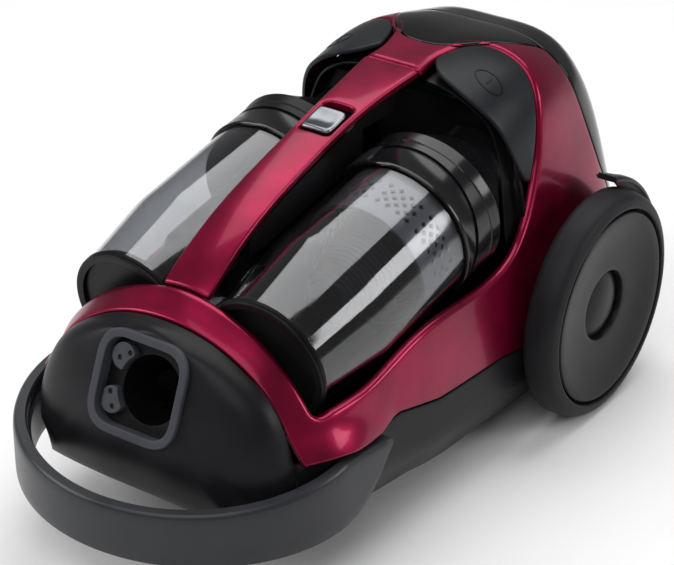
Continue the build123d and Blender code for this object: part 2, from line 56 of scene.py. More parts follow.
WALL = 2.6              # thickness of the moulded covers
EDGE = 1.1              # radius of a cover's rolled edge
WHEEL_R, DISC_R = 80.0, 68.4
WHEEL_Y, WHEEL_Z = 140.0, 80.0
HOSE_R, HOSE_X = 21.5, 5.5
INLET = np.array([0.0, -187.5, 128.5])
INLET_TILT = math.radians(22.5)
INLET_IN = np.array([0, math.cos(INLET_TILT), -math.sin(INLET_TILT)])   # into the body, square to the inlet
LOOP_HALF, LOOP_DEEP, LOOP_Y = 118.0, 105.0, -137.0
CUP_X, CUP_Y, CUP_Z = 52.0, -131.0, 138.0
CUP_TILT = math.radians(10.5)
CUP_AXIS = (0, math.cos(CUP_TILT), math.sin(CUP_TILT))
CUP_R1, FLARE = 50.0, 60.0      # outer radius of a cup, and where its cone ends
BIN_END = 25.0
CASTER_Y, CASTER_R, CASTER_TRAIL = -110.0, 16.0, 16.0
WHEEL_IN = 116.0        # inner face of a rear wheel, along X
CUP_WALL = 2.0
POLYCARBONATE_IOR = 1.58
FRONT_Y, TAIL_Y, REAR_Y = -159.8, 238.6, 240.0      # front and rear ends of the covers, and the rear plane
PATCH_SIDE = 6          # cells along each side of a diamond patch of holes
PITCH = 3.82            # half the diagonal of the sleeve's lattice of holes
CAMERA_AT = Vector((0.7967, -1.1031, 0.8575))
CAMERA_TO = Vector((-0.0106, 0.0314, 0.1000))

# Cross-sections of the hull: y, bottom, then points from the crown down the right-hand side.
HULL = [
    (-160, 46, [(0, 163), (32, 159), (61, 146), (80, 130), (92, 108), (97, 88), (97, 68)]),
    (-140, 42, [(0, 178), (32, 172), (62, 158), (84, 138), (99, 116), (105, 92), (106, 66)]),
    (-90, 36, [(0, 206), (36, 198), (70, 178), (92, 151), (104, 122), (110, 90), (111, 60)]),
    (-35, 29, [(0, 224), (40, 216), (75, 192), (96, 158), (106, 124), (112, 84), (113, 54)]),
    (30, 23, [(0, 240), (43, 233), (75, 208), (94, 168), (104, 126), (112, 80), (113, 48)]),
    (90, 19, [(0, 248), (46, 244), (72, 226), (88, 186), (98, 138), (110, 84), (112, 46)]),
    (140, 18, [(0, 250), (48, 247), (72, 232), (87, 190), (98, 140), (108, 84), (110, 46)]),
    (190, 20, [(0, 242), (46, 237), (68, 220), (83, 182), (95, 138), (106, 88), (107, 50)]),
    (222, 28, [(0, 224), (42, 219), (62, 200), (77, 167), (88, 127), (97, 86), (97, 54)]),
    (240, 40, [(0, 192), (38, 187), (56, 172), (69, 148), (79, 116), (85, 84), (85, 60)]),
]
RAIL_LINE = [(-160, 96), (-133, 94), (-96, 89), (-71, 92), (-29, 82), (43, 76), (98, 67), (105, 98),
             (175, 98), (182, 66), (240, 66)]
REAR_LINE = [(66, 222), (110, 222), (150, 205), (200, 190), (248, 176)]
HUB_Z = 95.0            # height that a section's polar angles are measured about
GIRTH = 100.0           # one radian of polar angle counts as this many millimetres across a cover


# ------------------------------------------------------------------ small maths

def spline(x, y, at):
    """Natural cubic spline through (x, y), read at the places in at. y may have several columns."""
    x, y, at = np.asarray(x, float), np.asarray(y, float), np.asarray(at, float)
    n, h = len(x), np.diff(x)
    a = np.eye(n)
    b = np.zeros_like(y)
    for i in range(1, n - 1):
        a[i, i - 1:i + 2] = h[i - 1], 2 * (h[i - 1] + h[i]), h[i]
        b[i] = 6 * ((y[i + 1] - y[i]) / h[i] - (y[i] - y[i - 1]) / h[i - 1])
    m = np.linalg.solve(a, b)
    i = np.clip(np.searchsorted(x, at) - 1, 0, n - 2)
    wide = (-1,) + (1,) * (y.ndim - 1)
    hi, t = h[i].reshape(wide), ((at - x[i]) / h[i]).reshape(wide)
    s = 1 - t
    return s * y[i] + t * y[i + 1] + hi ** 2 / 6 * ((s ** 3 - s) * m[i] + (t ** 3 - t) * m[i + 1])


def soften(points, closed=True, step=2.0):
    """Outline whose corners are rounded: each point is (x, y) or (x, y, reach of its rounding)."""
    pts = [np.array(p[:2], float) for p in points]
    reach = [p[2] if len(p) > 2 else 0 for p in points]
    n, path = len(pts), []
    for i, p in enumerate(pts):
        if not closed and i in (0, n - 1) or not reach[i]:
            path.append(p)
            continue
        before, after = pts[i - 1] - p, pts[(i + 1) % n] - p
        a = p + before / np.linalg.norm(before) * min(reach[i], np.linalg.norm(before) * 0.49)
        b = p + after / np.linalg.norm(after) * min(reach[i], np.linalg.norm(after) * 0.49)
        path += [(1 - t) ** 2 * a + 2 * t * (1 - t) * p + t * t * b for t in np.linspace(0, 1, 9)]
    if closed:
        path.append(path[0])
    dense = [path[0]]
    for a, b in zip(path, path[1:]):
        count = max(1, int(round(np.linalg.norm(b - a) / step)))
        dense += [a + (b - a) * k / count for k in range(1, count + 1)]
    dense = np.array(dense)
    keep = np.r_[True, np.linalg.norm(np.diff(dense, axis=0), axis=1) > 0.15]
    dense = dense[keep]
    return dense[:-1] if closed and np.linalg.norm(dense[0] - dense[-1]) < 0.15 else dense


def signed_area(loop):
    """Area of a closed outline, positive when it turns to the left."""
    x, y = loop[:, 0], loop[:, 1]
    return 0.5 * float(np.sum(x * np.roll(y, -1) - y * np.roll(x, -1)))


def inward(loop):
    """Unit normals of a closed outline, pointing to its left side."""
    d = np.roll(loop, -1, 0) - np.roll(loop, 1, 0)
    n = np.c_[-d[:, 1], d[:, 0]]
    return n / np.maximum(np.linalg.norm(n, axis=1, keepdims=True), 1e-9)


def inside(points, loop):
    """Which points lie within a closed outline."""
    hit = np.zeros(len(points), bool)
    x, y = points[:, 0], points[:, 1]
    for (x0, y0), (x1, y1) in zip(loop, np.roll(loop, -1, 0)):
        if y0 != y1:
            hit ^= ((y0 > y) != (y1 > y)) & (x < (x1 - x0) * (y - y0) / (y1 - y0) + x0)
    return hit


# ------------------------------------------------------------------ surfaces that covers follow

class Hull:
    """The hull as polar radius over (angle from the crown, y)."""

    def __init__(self, stations, lift=0.0):
        self.lift = lift
        angles = np.radians(np.arange(0, 181, 1.0))
        rows = []
        for _, bottom, points in stations:
            pts = np.array([(-x, z) for x, z in points[:0:-1]] + list(points), float)
            run = np.r_[0, np.cumsum(np.linalg.norm(np.diff(pts, axis=0), axis=1))]
            curve = spline(run, pts, np.linspace(run[len(run) // 2], run[-1], 120))
            low = np.array([(points[-1][0] - 12, bottom), (0, bottom)])
            run = np.linspace(0, 1, 40)[1:, None]
            curve = np.r_[curve, curve[-1] + (low[0] - curve[-1]) * run, low[0] + (low[1] - low[0]) * run]
            theta = np.arctan2(curve[:, 0], curve[:, 1] - HUB_Z)
            rows.append(np.interp(angles, theta, np.hypot(curve[:, 0], curve[:, 1] - HUB_Z)))
        self.y = np.arange(stations[0][0] - 4, stations[-1][0] + 4.01, 1.0)
        self.r = spline([s[0] for s in stations], np.array(rows), self.y)

    def place(self, q, depth=0.0):
        """3-D points for (girth, y) pairs, depth below the surface."""
        q = np.atleast_2d(q)
        centre, out = self.raw(q), None
        if np.any(depth) or self.lift:
            du, dv = self.raw(q + (0.7, 0)) - self.raw(q - (0.7, 0)), self.raw(q + (0, 0.7)) - self.raw(q - (0, 0.7))
            out = np.cross(dv, du)
            out = -out / np.linalg.norm(out, axis=1, keepdims=True)
            centre = centre - out * (np.reshape(depth, (-1, 1)) - self.lift)
        return centre

    def raw(self, q):
        turn = q[:, 0] / GIRTH
        wrap = np.abs((turn + math.pi) % (2 * math.pi) - math.pi)
        a = np.clip(np.degrees(wrap), 0, 179.999)
        v = np.clip(q[:, 1] - self.y[0], 0, len(self.y) - 1.001)
        i, j = v.astype(int), a.astype(int)
        fi, fj = v - i, a - j
        r = ((1 - fi) * (1 - fj) * self.r[i, j] + fi * (1 - fj) * self.r[i + 1, j]
             + (1 - fi) * fj * self.r[i, j + 1] + fi * fj * self.r[i + 1, j + 1])
        return np.c_[r * np.sin(turn), q[:, 1], HUB_Z + r * np.cos(turn)]

    def from_plan(self, x, y):
        """Girth of the point above (x, y)."""
        angles = np.linspace(0, 1.75, 300)
        xs = self.raw(np.c_[angles * GIRTH, np.full(300, y)])[:, 0]
        top = int(np.argmax(xs)) + 1
        return math.copysign(float(np.interp(abs(x), xs[:top], angles[:top])) * GIRTH, x)

    def from_side(self, y, z):
        """Girth of the right-hand point at height z."""
        angles = np.linspace(0, math.pi, 400)
        zs = self.raw(np.c_[angles * GIRTH, np.full(400, y)])[:, 2]
        return float(np.interp(-z, -zs, angles)) * GIRTH


class Flat:
    """A plane given by its origin and its two directions."""

    def __init__(self, origin, u, v):
        self.origin, self.u, self.v = (np.array(a, float) for a in (origin, u, v))
        self.n = np.cross(self.u, self.v)

    def place(self, q, depth=0.0):
        q = np.atleast_2d(q)
        return (self.origin + q[:, :1] * self.u + q[:, 1:] * self.v - np.reshape(depth, (-1, 1)) * self.n)


BODY = Hull(HULL)
INLET_PLANE = Flat(INLET, (1, 0, 0), (0, math.sin(INLET_TILT), math.cos(INLET_TILT)))


# ------------------------------------------------------------------ mesh builders

def linked(name, data):
    """A new object that holds data, in the scene."""
    made = bpy.data.objects.new(name, data)
    bpy.context.scene.collection.objects.link(made)
    return made


def new_object(name, vertices, faces, material, sharp=40):
    """A smooth-shaded mesh object at the origin from millimetre points, its doubles merged."""
    mesh = bpy.data.meshes.new(name)
    mesh.from_pydata((np.asarray(vertices) * MM).tolist(), [], faces)
    work = bmesh.new()
    work.from_mesh(mesh)
    bmesh.ops.remove_doubles(work, verts=work.verts, dist=2e-5)
    bmesh.ops.dissolve_degenerate(work, edges=work.edges, dist=1e-6)
    bmesh.ops.recalc_face_normals(work, faces=work.faces)
    work.to_mesh(mesh)
    work.free()
    mesh.shade_smooth()
    mesh.set_sharp_from_angle(angle=math.radians(sharp))
    mesh.materials.append(material)
    return linked(name, mesh)


def cover(name, surface, outline, holes, material, wall=WALL, edge=EDGE, grid=5.0, sharp=40, lip=None):
    """A closed moulding that follows a surface within an outline, with rolled edges and holes.

    edge is the radius of the rolled edges, and lip that of the holes' edges where it differs.
    """
    loops = [outline if signed_area(outline) > 0 else outline[::-1]]
    loops += [hole if signed_area(hole) < 0 else hole[::-1] for hole in holes]
    rolls = [edge] + [lip or edge] * len(holes)
    rims = [loop + inward(loop) * roll for loop, roll in zip(loops, rolls)]
    border = np.concatenate(rims)
    low, high = border.min(0), border.max(0)
    gx, gy = np.meshgrid(np.arange(low[0], high[0], grid), np.arange(low[1], high[1], grid))
    grain = np.c_[gx.ravel(), gy.ravel()]
    near = np.full(len(grain), np.inf)
    for start in range(0, len(border), 64):
        gap = grain[:, None] - border[None, start:start + 64]
        near = np.minimum(near, np.sqrt((gap ** 2).sum(2)).min(1))
    grain = grain[near > 0.55 * grid]
    keep = inside(grain, rims[0])
    for rim in rims[1:]:
        keep &= ~inside(grain, rim)
    sites = np.concatenate([border, grain[keep]])
    edges, start = [], 0
    for rim in rims:
        n = len(rim)
        edges += [(start + k, start + (k + 1) % n) for k in range(n)]
        start += n
    out = delaunay_2d_cdt([Vector(p) for p in sites], edges, [], 0, 1e-5)
    q, tris = np.array([tuple(p) for p in out[0]]), np.array(out[2])
    middle = q[tris].mean(1)
    keep = inside(middle, rims[0])
    for rim in rims[1:]:
        keep &= ~inside(middle, rim)
    tris = tris[keep]
    parts, faces, start = [surface.place(q), surface.place(q, wall)], tris.tolist(), 2 * len(q)
    faces += (tris[:, ::-1] + len(q)).tolist()
    for loop, rim, roll in zip(loops, rims, rolls):
        out_dir, n = -inward(loop), len(loop)
        rings = [surface.place(rim)]
        for phi in np.radians((15, 30, 45, 60, 75, 90)):
            rings.append(surface.place(rim + out_dir * roll * math.sin(phi), roll * (1 - math.cos(phi))))
        rings += [surface.place(loop, wall), surface.place(rim, wall)]
        parts += rings
        for k in range(len(rings) - 1):
            a, b = start + k * n, start + (k + 1) * n
            faces += [(a + i, b + i, b + (i + 1) % n, a + (i + 1) % n) for i in range(n)]
        start += n * len(rings)
    return new_object(name, np.concatenate(parts), faces, material, sharp)


def lathe(name, profile, origin, axis, material, closed=True, segments=128, sharp=35, front=None, cut=None):
    """A body of revolution: profile is (distance along axis, radius) points in order.

    Points before front or behind cut, both along Y, slide along the axis to that upright plane.
    """
    axis = Vector(axis).normalized()
    side = axis.orthogonal().normalized()
    other = axis.cross(side)
    profile = np.asarray(profile, float)
    turn = np.linspace(0, 2 * math.pi, segments, endpoint=False)
    ring = np.outer(np.cos(turn), side) + np.outer(np.sin(turn), other)
    vertices = (np.array(origin)[None, None] + profile[:, None, :1] * np.array(axis)[None, None]
                + profile[:, None, 1:] * ring[None]).reshape(-1, 3)
    if cut is not None:
        vertices -= np.maximum(vertices[:, 1:2] - cut, 0) / axis.y * np.array(axis)
    if front is not None:
        vertices += np.maximum(front - vertices[:, 1:2], 0) / axis.y * np.array(axis)
    count, faces = len(profile), []
    for k in range(count if closed else count - 1):
        a, b = k * segments, (k + 1) % count * segments
        faces += [(a + i, a + (i + 1) % segments, b + (i + 1) % segments, b + i) for i in range(segments)]
    return new_object(name, vertices, faces, material, sharp)


def filleted(points, radius, closed=True):
    """Profile with its corners rounded by short arcs; a point's third value overrides the radius."""
    pts = [tuple(p[:2]) + ((p[2] if len(p) > 2 else radius),) for p in points]
    return soften(pts, closed, step=50)


def sweep(name, sections, material, sharp=40):
    """Skin over closed sections set along a path: sections is an array (path, ring, 3)."""
    sections = np.asarray(sections, float)
    count, ring = sections.shape[:2]
    faces = [(k * ring + i, k * ring + (i + 1) % ring, (k + 1) * ring + (i + 1) % ring, (k + 1) * ring + i)
             for k in range(count - 1) for i in range(ring)]
    faces += [tuple(range(ring))[::-1], tuple((count - 1) * ring + i for i in range(ring))]
    return new_object(name, sections.reshape(-1, 3), faces, material, sharp)


def join_pieces(name, pieces):
    """One object from several, keeping every material."""
    mesh = bpy.data.meshes.new(name)
    work, slots = bmesh.new(), []
    for piece in pieces:
        index = len(slots)
        slots += list(piece.data.materials)
        start = len(work.faces)
        work.from_mesh(piece.data)
        work.faces.ensure_lookup_table()
        for face in work.faces[start:]:
            face.material_index += index
    work.to_mesh(mesh)
    work.free()
    for material in slots:
        mesh.materials.append(material)
    for piece in pieces:
        bpy.data.objects.remove(piece)
    return linked(name, mesh)


def mirror_piece(name, piece):
    """A left-hand twin of a right-hand piece."""
    twin = linked(name, piece.data.copy())
    twin.data.transform(Matrix.Scale(-1, 4, (1, 0, 0)))
    twin.data.flip_normals()
    return twin


def seat(piece, body, slot, *nodes):
    """Make a piece ride on a body and hide the CAD nodes it stands for; slot, the name of its finish, is not used."""
    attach(piece, body)
    if nodes:
        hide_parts(*nodes)
    return piece


# ------------------------------------------------------------------ materials

def linear(code, alpha=1.0):
    """Linear colour from an sRGB hex value."""
    parts = [int(code[i:i + 2], 16) / 255 for i in (0, 2, 4)]
    return tuple(c / 12.92 if c <= 0.04045 else ((c + 0.055) / 1.055) ** 2.4 for c in parts) + (alpha,)


def add_node(tree, kind, settings=None, **links):
    """A node with its settings, and its inputs set to values or linked from sockets."""
    made = tree.nodes.new(kind)
    for key, value in (settings or {}).items():
        setattr(made, key, value)
    for key, value in links.items():
        socket = made.inputs[int(key[1:])] if key[0] == "i" and key[1:].isdigit() else made.inputs[
            key.replace("_", " ")]
        if isinstance(value, bpy.types.NodeSocket):
            tree.links.new(value, socket)
        else:
            socket.default_value = value
    return made


def blank_material(name):
    """A new material with its node tree, its shader and the object's own coordinates."""
    material = bpy.data.materials.new(name)
    material.use_nodes = True
    tree = material.node_tree
    return material, tree, tree.nodes["Principled BSDF"], add_node(tree, "ShaderNodeTexCoord").outputs["Object"]


def wire(tree, shader, links, values):
    """Joins sockets to the shader's inputs and sets its plain inputs."""
    for label, socket in links.items():
        tree.links.new(socket, shader.inputs[label])
    for label, value in values.items():
        shader.inputs[label].default_value = value


def plastic(name, low, high, rough, spread=0.06, texture_mm=1.2, bump=0.02, coat=0.0, metallic=0.0, ior=1.24,
            coat_rough=0.03):
    """Moulded plastic: two close colours in soft clouds, a fine mould texture and slight polish changes."""
    material, tree, shader, place = blank_material(name)
    clouds = add_node(tree, "ShaderNodeTexNoise", Vector=place, Scale=1 / 0.03, Detail=3.0)
    tint = add_node(tree, "ShaderNodeValToRGB", Fac=clouds.outputs["Fac"])
    tint.color_ramp.elements[0].position, tint.color_ramp.elements[1].position = 0.3, 0.7
    tint.color_ramp.elements[0].color, tint.color_ramp.elements[1].color = linear(low), linear(high)
    polish = add_node(tree, "ShaderNodeMapRange", Value=clouds.outputs["Fac"], From_Min=0.3, From_Max=0.7,
                      To_Min=rough - spread / 2, To_Max=rough + spread / 2)
    grain = add_node(tree, "ShaderNodeTexNoise", Vector=place, Scale=1000 / texture_mm, Detail=2.0)
    relief = add_node(tree, "ShaderNodeBump", Height=grain.outputs["Fac"], Strength=bump, Distance=0.0004)
    wire(tree, shader, {"Base Color": tint.outputs["Color"], "Roughness": polish.outputs["Result"],
                        "Normal": relief.outputs["Normal"]},
         {"IOR": ior, "Metallic": metallic, "Coat Weight": coat, "Coat Roughness": coat_rough})
    return material


def clear_plastic(name, colour, rough):
    """Moulded polycarbonate: faint flow marks in its polish, tinted where it is smoky."""
    material, tree, shader, place = blank_material(name)
    flow = add_node(tree, "ShaderNodeTexNoise", Vector=place, Scale=1 / 0.05, Detail=2.0)
    polish = add_node(tree, "ShaderNodeMapRange", Value=flow.outputs["Fac"], To_Min=rough, To_Max=rough + 0.04)
    tint = add_node(tree, "ShaderNodeMix", {"data_type": "RGBA"}, i0=flow.outputs["Fac"], i6=linear(colour),
                    i7=tuple(c * 0.92 for c in linear(colour)[:3]) + (1.0,))
    wire(tree, shader, {"Base Color": tint.outputs[2], "Roughness": polish.outputs["Result"]},
         {"Transmission Weight": 1.0, "IOR": POLYCARBONATE_IOR})
    return material


def metal(name, colour, rough, brushed_mm=0.0, bump=0.02):
    """Metal with fine wear in its polish."""
    material, tree, shader, place = blank_material(name)
    scale = 1000 / (brushed_mm or 2.0)
    grain = add_node(tree, "ShaderNodeTexNoise", Vector=place, Scale=scale, Detail=4.0)
    polish = add_node(tree, "ShaderNodeMapRange", Value=grain.outputs["Fac"], To_Min=rough * 0.8,
                      To_Max=rough * 1.25)
    tint = add_node(tree, "ShaderNodeMix", {"data_type": "RGBA"}, i0=grain.outputs["Fac"], i6=linear(colour),
                    i7=tuple(min(1, c * 1.12) for c in linear(colour)[:3]) + (1.0,))
    relief = add_node(tree, "ShaderNodeBump", Height=grain.outputs["Fac"], Strength=bump, Distance=0.0002)
    wire(tree, shader, {"Base Color": tint.outputs[2], "Roughness": polish.outputs["Result"],
                        "Normal": relief.outputs["Normal"]}, {"Metallic": 1.0})
    return material


MATERIALS = {}


def make_materials():
    """Every finish on the cleaner."""
    crimson = bpy.context.scene.vacuum_covers.lacquer
    low = "%02X%02X%02X" % tuple(int(round(255 * c)) for c in crimson)
    MATERIALS.update({
        # ABS sprayed with pearl lacquer under clear coat: deep red that lifts to pink where light grazes
        "pearl_lacquer_abs": plastic("pearl_lacquer_abs", low, "8E0A38", 0.3, 0.03, 0.8, 0.003, coat=0.22,
                                     metallic=0.72, ior=1.3, coat_rough=0.08),
        # spark-eroded ABS: dark, a broad dull shine
        "textured_charcoal_abs": plastic("textured_charcoal_abs", "161618", "1B1B1E", 0.38, 0.08, 0.9, 0.03),
        # satin polypropylene of the bow handle, one shade lighter
        "satin_grey_polypropylene": plastic("satin_grey_polypropylene", "26272A", "2D2E32", 0.32, 0.06, 0.9, 0.02,
                                            ior=1.36),
        "satin_mid_grey_abs": plastic("satin_mid_grey_abs", "3C3E43", "45474C", 0.32, 0.05, 0.9, 0.03),
        # mirror-polished tool: black with sharp reflections
        "polished_black_abs": plastic("polished_black_abs", "040405", "070708", 0.1, 0.03, 1.0, 0.003, ior=1.42),
        "satin_black_abs": plastic("satin_black_abs", "0E0E0F", "131315", 0.34, 0.06, 0.9, 0.03),
        "polished_graphite_abs": plastic("polished_graphite_abs", "101012", "151517", 0.17, 0.05, 1.0, 0.004,
                                         ior=1.4),
        "moulded_graphite_abs": plastic("moulded_graphite_abs", "1D1E21", "242528", 0.32, 0.06, 0.9, 0.03),
        "ribbed_grey_abs": plastic("ribbed_grey_abs", "2E2F33", "3A3B40", 0.3, 0.05, 0.9, 0.02),
        "soft_tread_rubber": plastic("soft_tread_rubber", "1B1B1D", "222225", 0.5, 0.08, 0.7, 0.05),
        "silver_paint": plastic("silver_paint", "B4B6BA", "C2C4C8", 0.34, 0.04, 0.6, 0.01, coat=0.3,
                                metallic=0.55),
        "satin_chrome_plate": metal("satin_chrome_plate", "75777B", 0.24),
        "zinc_plated_steel": metal("zinc_plated_steel", "9A9CA0", 0.32, 0.8, 0.05),
        "turned_brass": metal("turned_brass", "3E3016", 0.4, 0.8, 0.04),
        "pressed_aluminium": metal("pressed_aluminium", "B9BBBE", 0.35, 1.2, 0.05),
        "smoked_polycarbonate": clear_plastic("smoked_polycarbonate", "B4B6BA", 0.03),
        "clear_polycarbonate": clear_plastic("clear_polycarbonate", "BCBEC2", 0.02),
        "filter_foam": plastic("filter_foam", "1D1D20", "2C2C30", 0.9, 0.05, 1.5, 0.9),
        "filter_paper": plastic("filter_paper", "D8D6CC", "E6E4DB", 0.85, 0.05, 0.6, 0.3),
        "solder_mask": plastic("solder_mask", "0E3B1E", "14502A", 0.3, 0.05, 1.0, 0.02),
        "polyamide": plastic("polyamide", "A8A69C", "B8B6AC", 0.5, 0.06, 1.0, 0.05),
    })


NODE_FINISH = {
    "satin_black_abs": ("bay_deck bulkhead dust_channel inlet_duct pedal_seats reel_drum bin_bridge bin_lids "
                        "second_cyclone cyclone_throat cord_outlet caster_fork"),
    "zinc_plated_steel": ("screws wheel_axles caster_axle reel_shaft motor_rotor motor_stator reel_brackets "
                          "reel_spring latch_spring pedal_spring_left pedal_spring_right"),
    "turned_brass": "contact_pins",
    "polyamide": "motor_front motor_rear",
    "pressed_aluminium": "impeller",
    "filter_foam": "pre_motor_filter",
    "filter_paper": "exhaust_filter",
    "solder_mask": "control_board",
    "soft_tread_rubber": "motor_mounts",
}


# ------------------------------------------------------------------ outlines, in millimetres

BAY_RIGHT = [(98, -142, 9), (104, -112, 20), (104, 20, 40), (100, 74, 28), (94, 106, 20), (86, 130, 14),
             (66, 140, 14), (38, 135.5, 12), (26, 121, 10), (20.5, 97, 8), (22.3, 79, 2)]
PEDAL = [(21.6, 97, 5), (27, 119, 9), (38, 133.5, 10), (66, 137.8, 14), (84, 128, 13), (91.5, 107, 5),
         (86, 93, 12), (70, 82, 14), (52, 78, 14), (32, 83, 9)]
PANEL_RIGHT = [(14, 114, 10), (27, 123.5, 8), (37, 138, 10), (47, 157, 14), (53, 176, 0)]
SPINE = [(-17.5, -141.4, 2), (17.5, -141.4, 2), (15.9, -60, 40), (15.7, 20, 40), (21.4, 78.4, 2),
         (-21.4, 78.4, 2), (-15.7, 20, 40), (-15.9, -60, 40)]


def rail_girth(y, rise=0.0):
    """Girth of the shut line between frame and base at y, on the right-hand side."""
    ys, zs = zip(*RAIL_LINE)
    return BODY.from_side(y, float(np.interp(y, ys, zs)) + rise)


def rear_y(z):
    """Y of the shut line in front of the rear cover at height z."""
    zs, ys = zip(*REAR_LINE)
    return float(np.interp(z, zs, ys))


def rail_edge(rise, y0, y1):
    """The shut line as (girth, y) points from front to rear."""
    ys = [y for y, _ in RAIL_LINE if y0 < y < y1]
    ys = sorted(set(np.r_[np.arange(y0, y1, 2.0), ys, y1]))
    return [(rail_girth(y, rise), y) for y in ys]


def rear_edge(shift=0.0, z0=66, z1=248):
    """The shut line in front of the rear cover as (girth, y) points from the rail up to the crown."""
    return [(BODY.from_side(rear_y(z) + shift, z), rear_y(z) + shift) for z in np.arange(z0, z1 + 0.1, 3.0)]


def plan_edge(points, closed=False, step=2.0):
    """(girth, y) points of a line given from above."""
    return [(BODY.from_plan(x, y), y) for x, y in soften(points, closed, step)]


def both_sides(right):
    """A closed outline from its right-hand half, which runs between two points on the centre line."""
    return np.array(list(right) + [(-g, y) for g, y in right[::-1] if abs(g) > 0.05])


# ------------------------------------------------------------------ covers

def even(points, step=2.2):
    """A closed loop resampled to even steps."""
    pts = np.asarray(points, float)
    pts = pts[np.r_[True, np.linalg.norm(np.diff(pts, axis=0), axis=1) > 0.05]]
    ring = np.r_[pts, pts[:1]]
    run = np.r_[0, np.cumsum(np.linalg.norm(np.diff(ring, axis=0), axis=1))]
    count = int(run[-1] / step)
    at = np.linspace(0, run[-1], count, endpoint=False)
    return np.c_[np.interp(at, run, ring[:, 0]), np.interp(at, run, ring[:, 1])]


class FlaredHull(Hull):
    """The hull with a lip along the front of each rail that leans outward below a crease."""

    def raw(self, q):
        points = Hull.raw(self, q)
        y = q[:, 1]
        fade = np.clip((-78 - y) / 45, 0, 1) ** 0.8
        rail = np.interp(y, *zip(*RAIL_LINE))
        drop = np.clip((rail + 17 - points[:, 2]) / 17, 0, 1)
        points[:, 0] += np.sign(points[:, 0]) * 7.0 * fade * drop
        return points


def make_frame_cover():
    """The lacquered upper frame in one piece: arch, rails, shoulders and the tongue."""
    rail = rail_edge(0.3, FRONT_Y, 221.0)
    rear = [p for p in rear_edge(-0.6, 69, 246) if p[0] > BODY.from_plan(53.4, 175)]
    notch = plan_edge([(0, 112.5, 0), (14.3, 113.5, 10), (27.4, 123, 8), (37.4, 137.6, 10), (47.5, 156.6, 14),
                       (53.5, 175.2, 0)])[::-1]
    front = [(g, FRONT_Y) for g in np.arange(0, rail[0][0], 2.0)]
    outline = both_sides(front + rail + rear + notch)
    bay = both_sides([(g, -142.0) for g in np.arange(0, BODY.from_plan(88, -142), 2.0)]
                     + plan_edge([(89, -142, 0)] + BAY_RIGHT + [(0, 79, 0)]))
    edge = bpy.context.scene.vacuum_covers.edge / MM
    piece = cover("upper_frame_cover", FlaredHull(HULL), even(outline), [even(bay)],
                  MATERIALS["pearl_lacquer_abs"], wall=5.0, edge=edge, lip=4.0, grid=4.0)
    return seat(piece, "body", "red_gloss", "upper_frame")


def end_plate(name, y, z0, z1, holes, material, edge=3.0):
    """Flat plate that closes the hull's rear end between two heights."""
    section = BODY.raw(np.c_[np.radians(np.arange(0, 180, 1.0)) * GIRTH, np.full(180, y - 2.0)])
    right = [(x, z) for x, _, z in section if z0 < z < z1]
    right = [(0, section[0][2])] + right if section[0][2] < z1 else [(0, z1), (right[0][0], z1)] + right
    right += [(right[-1][0], z0), (0, z0)] if section[-1][2] < z0 else [(0, section[-1][2])]
    loop = np.array(right + [(-x, z) for x, z in right[::-1] if x > 0.05])
    plane = Flat((0, y, 0), (-1, 0, 0), (0, 0, 1))
    return cover(name, plane, even(loop), holes, material, wall=6.0, edge=edge)


def make_rear_cover():
    """Polished rear cover wrapped round the back, with the exhaust window."""
    black = MATERIALS["polished_black_abs"]
    side = rear_edge(0.2, 66.5, 247.5)
    top = [(g, 176.4) for g in np.arange(side[-1][0], 0, -2.0)] + [(0, 176.4)]
    rail = rail_edge(0.3, 223, TAIL_Y)
    tail = [(g, TAIL_Y) for g in np.arange(0, rail[-1][0], 2.0)]
    skin = cover("rear_skin", BODY, even(both_sides(tail + rail[::-1] + side + top)), [], black, wall=3.0)
    window = soften([(-34, 86, 4), (34, 86, 4), (34, 154, 4), (-34, 154, 4)])
    cord_hole = np.array([(-58 + 8 * math.cos(a), 104 + 8 * math.sin(a)) for a in np.radians(range(0, 360, 12))])
    end = end_plate("rear_end", REAR_Y, 66.3, 260, [window, cord_hole], black)
    return seat(join_pieces("rear_cover_moulding", [skin, end]), "body", "black_gloss", "rear_cover")


def make_top_panel():
    """Glossy panel set into the frame behind the pedals."""
    right = plan_edge([(0, 112.8, 0)] + PANEL_RIGHT) + [(BODY.from_plan(x, 176), 176.0) for x in range(50, 0, -3)]
    piece = cover("top_panel_moulding", BODY, even(both_sides(right + [(0, 176.0)])), [],
                  MATERIALS["polished_black_abs"], edge=0.8)
    return seat(piece, "body", "black_gloss", "top_panel")


def make_base():
    """Textured lower tray, closed underneath."""
    charcoal = MATERIALS["textured_charcoal_abs"]
    rail = rail_edge(-0.4, FRONT_Y, TAIL_Y)
    far = 2 * math.pi * GIRTH
    front = [(g, FRONT_Y) for g in np.arange(rail[0][0], far - rail[0][0], 2.0)]
    tail = [(g, TAIL_Y) for g in np.arange(rail[-1][0], far - rail[-1][0], 2.0)]
    left = [(far - g, y) for g, y in rail[::-1]]
    outline = front + left + tail[::-1] + rail[::-1]
    swivel = np.array([(math.pi * GIRTH + 17 * math.cos(a) * GIRTH / 58, CASTER_Y + 17 * math.sin(a))
                       for a in np.radians(range(0, 360, 12))])
    skin = cover("base_skin", BODY, even(outline), [even(swivel)], charcoal, wall=3.0, grid=6.0)
    end = end_plate("base_end", REAR_Y, 30, 65.6, [], charcoal, edge=2.0)
    socket = lathe("caster_socket", [(0, 9), (0, 17), (22, 17), (22, 9)], (0, CASTER_Y, 36), (0, 0, 1), charcoal)
    return seat(join_pieces("base_tray", [skin, end, socket]), "body", "charcoal", "base_chassis")


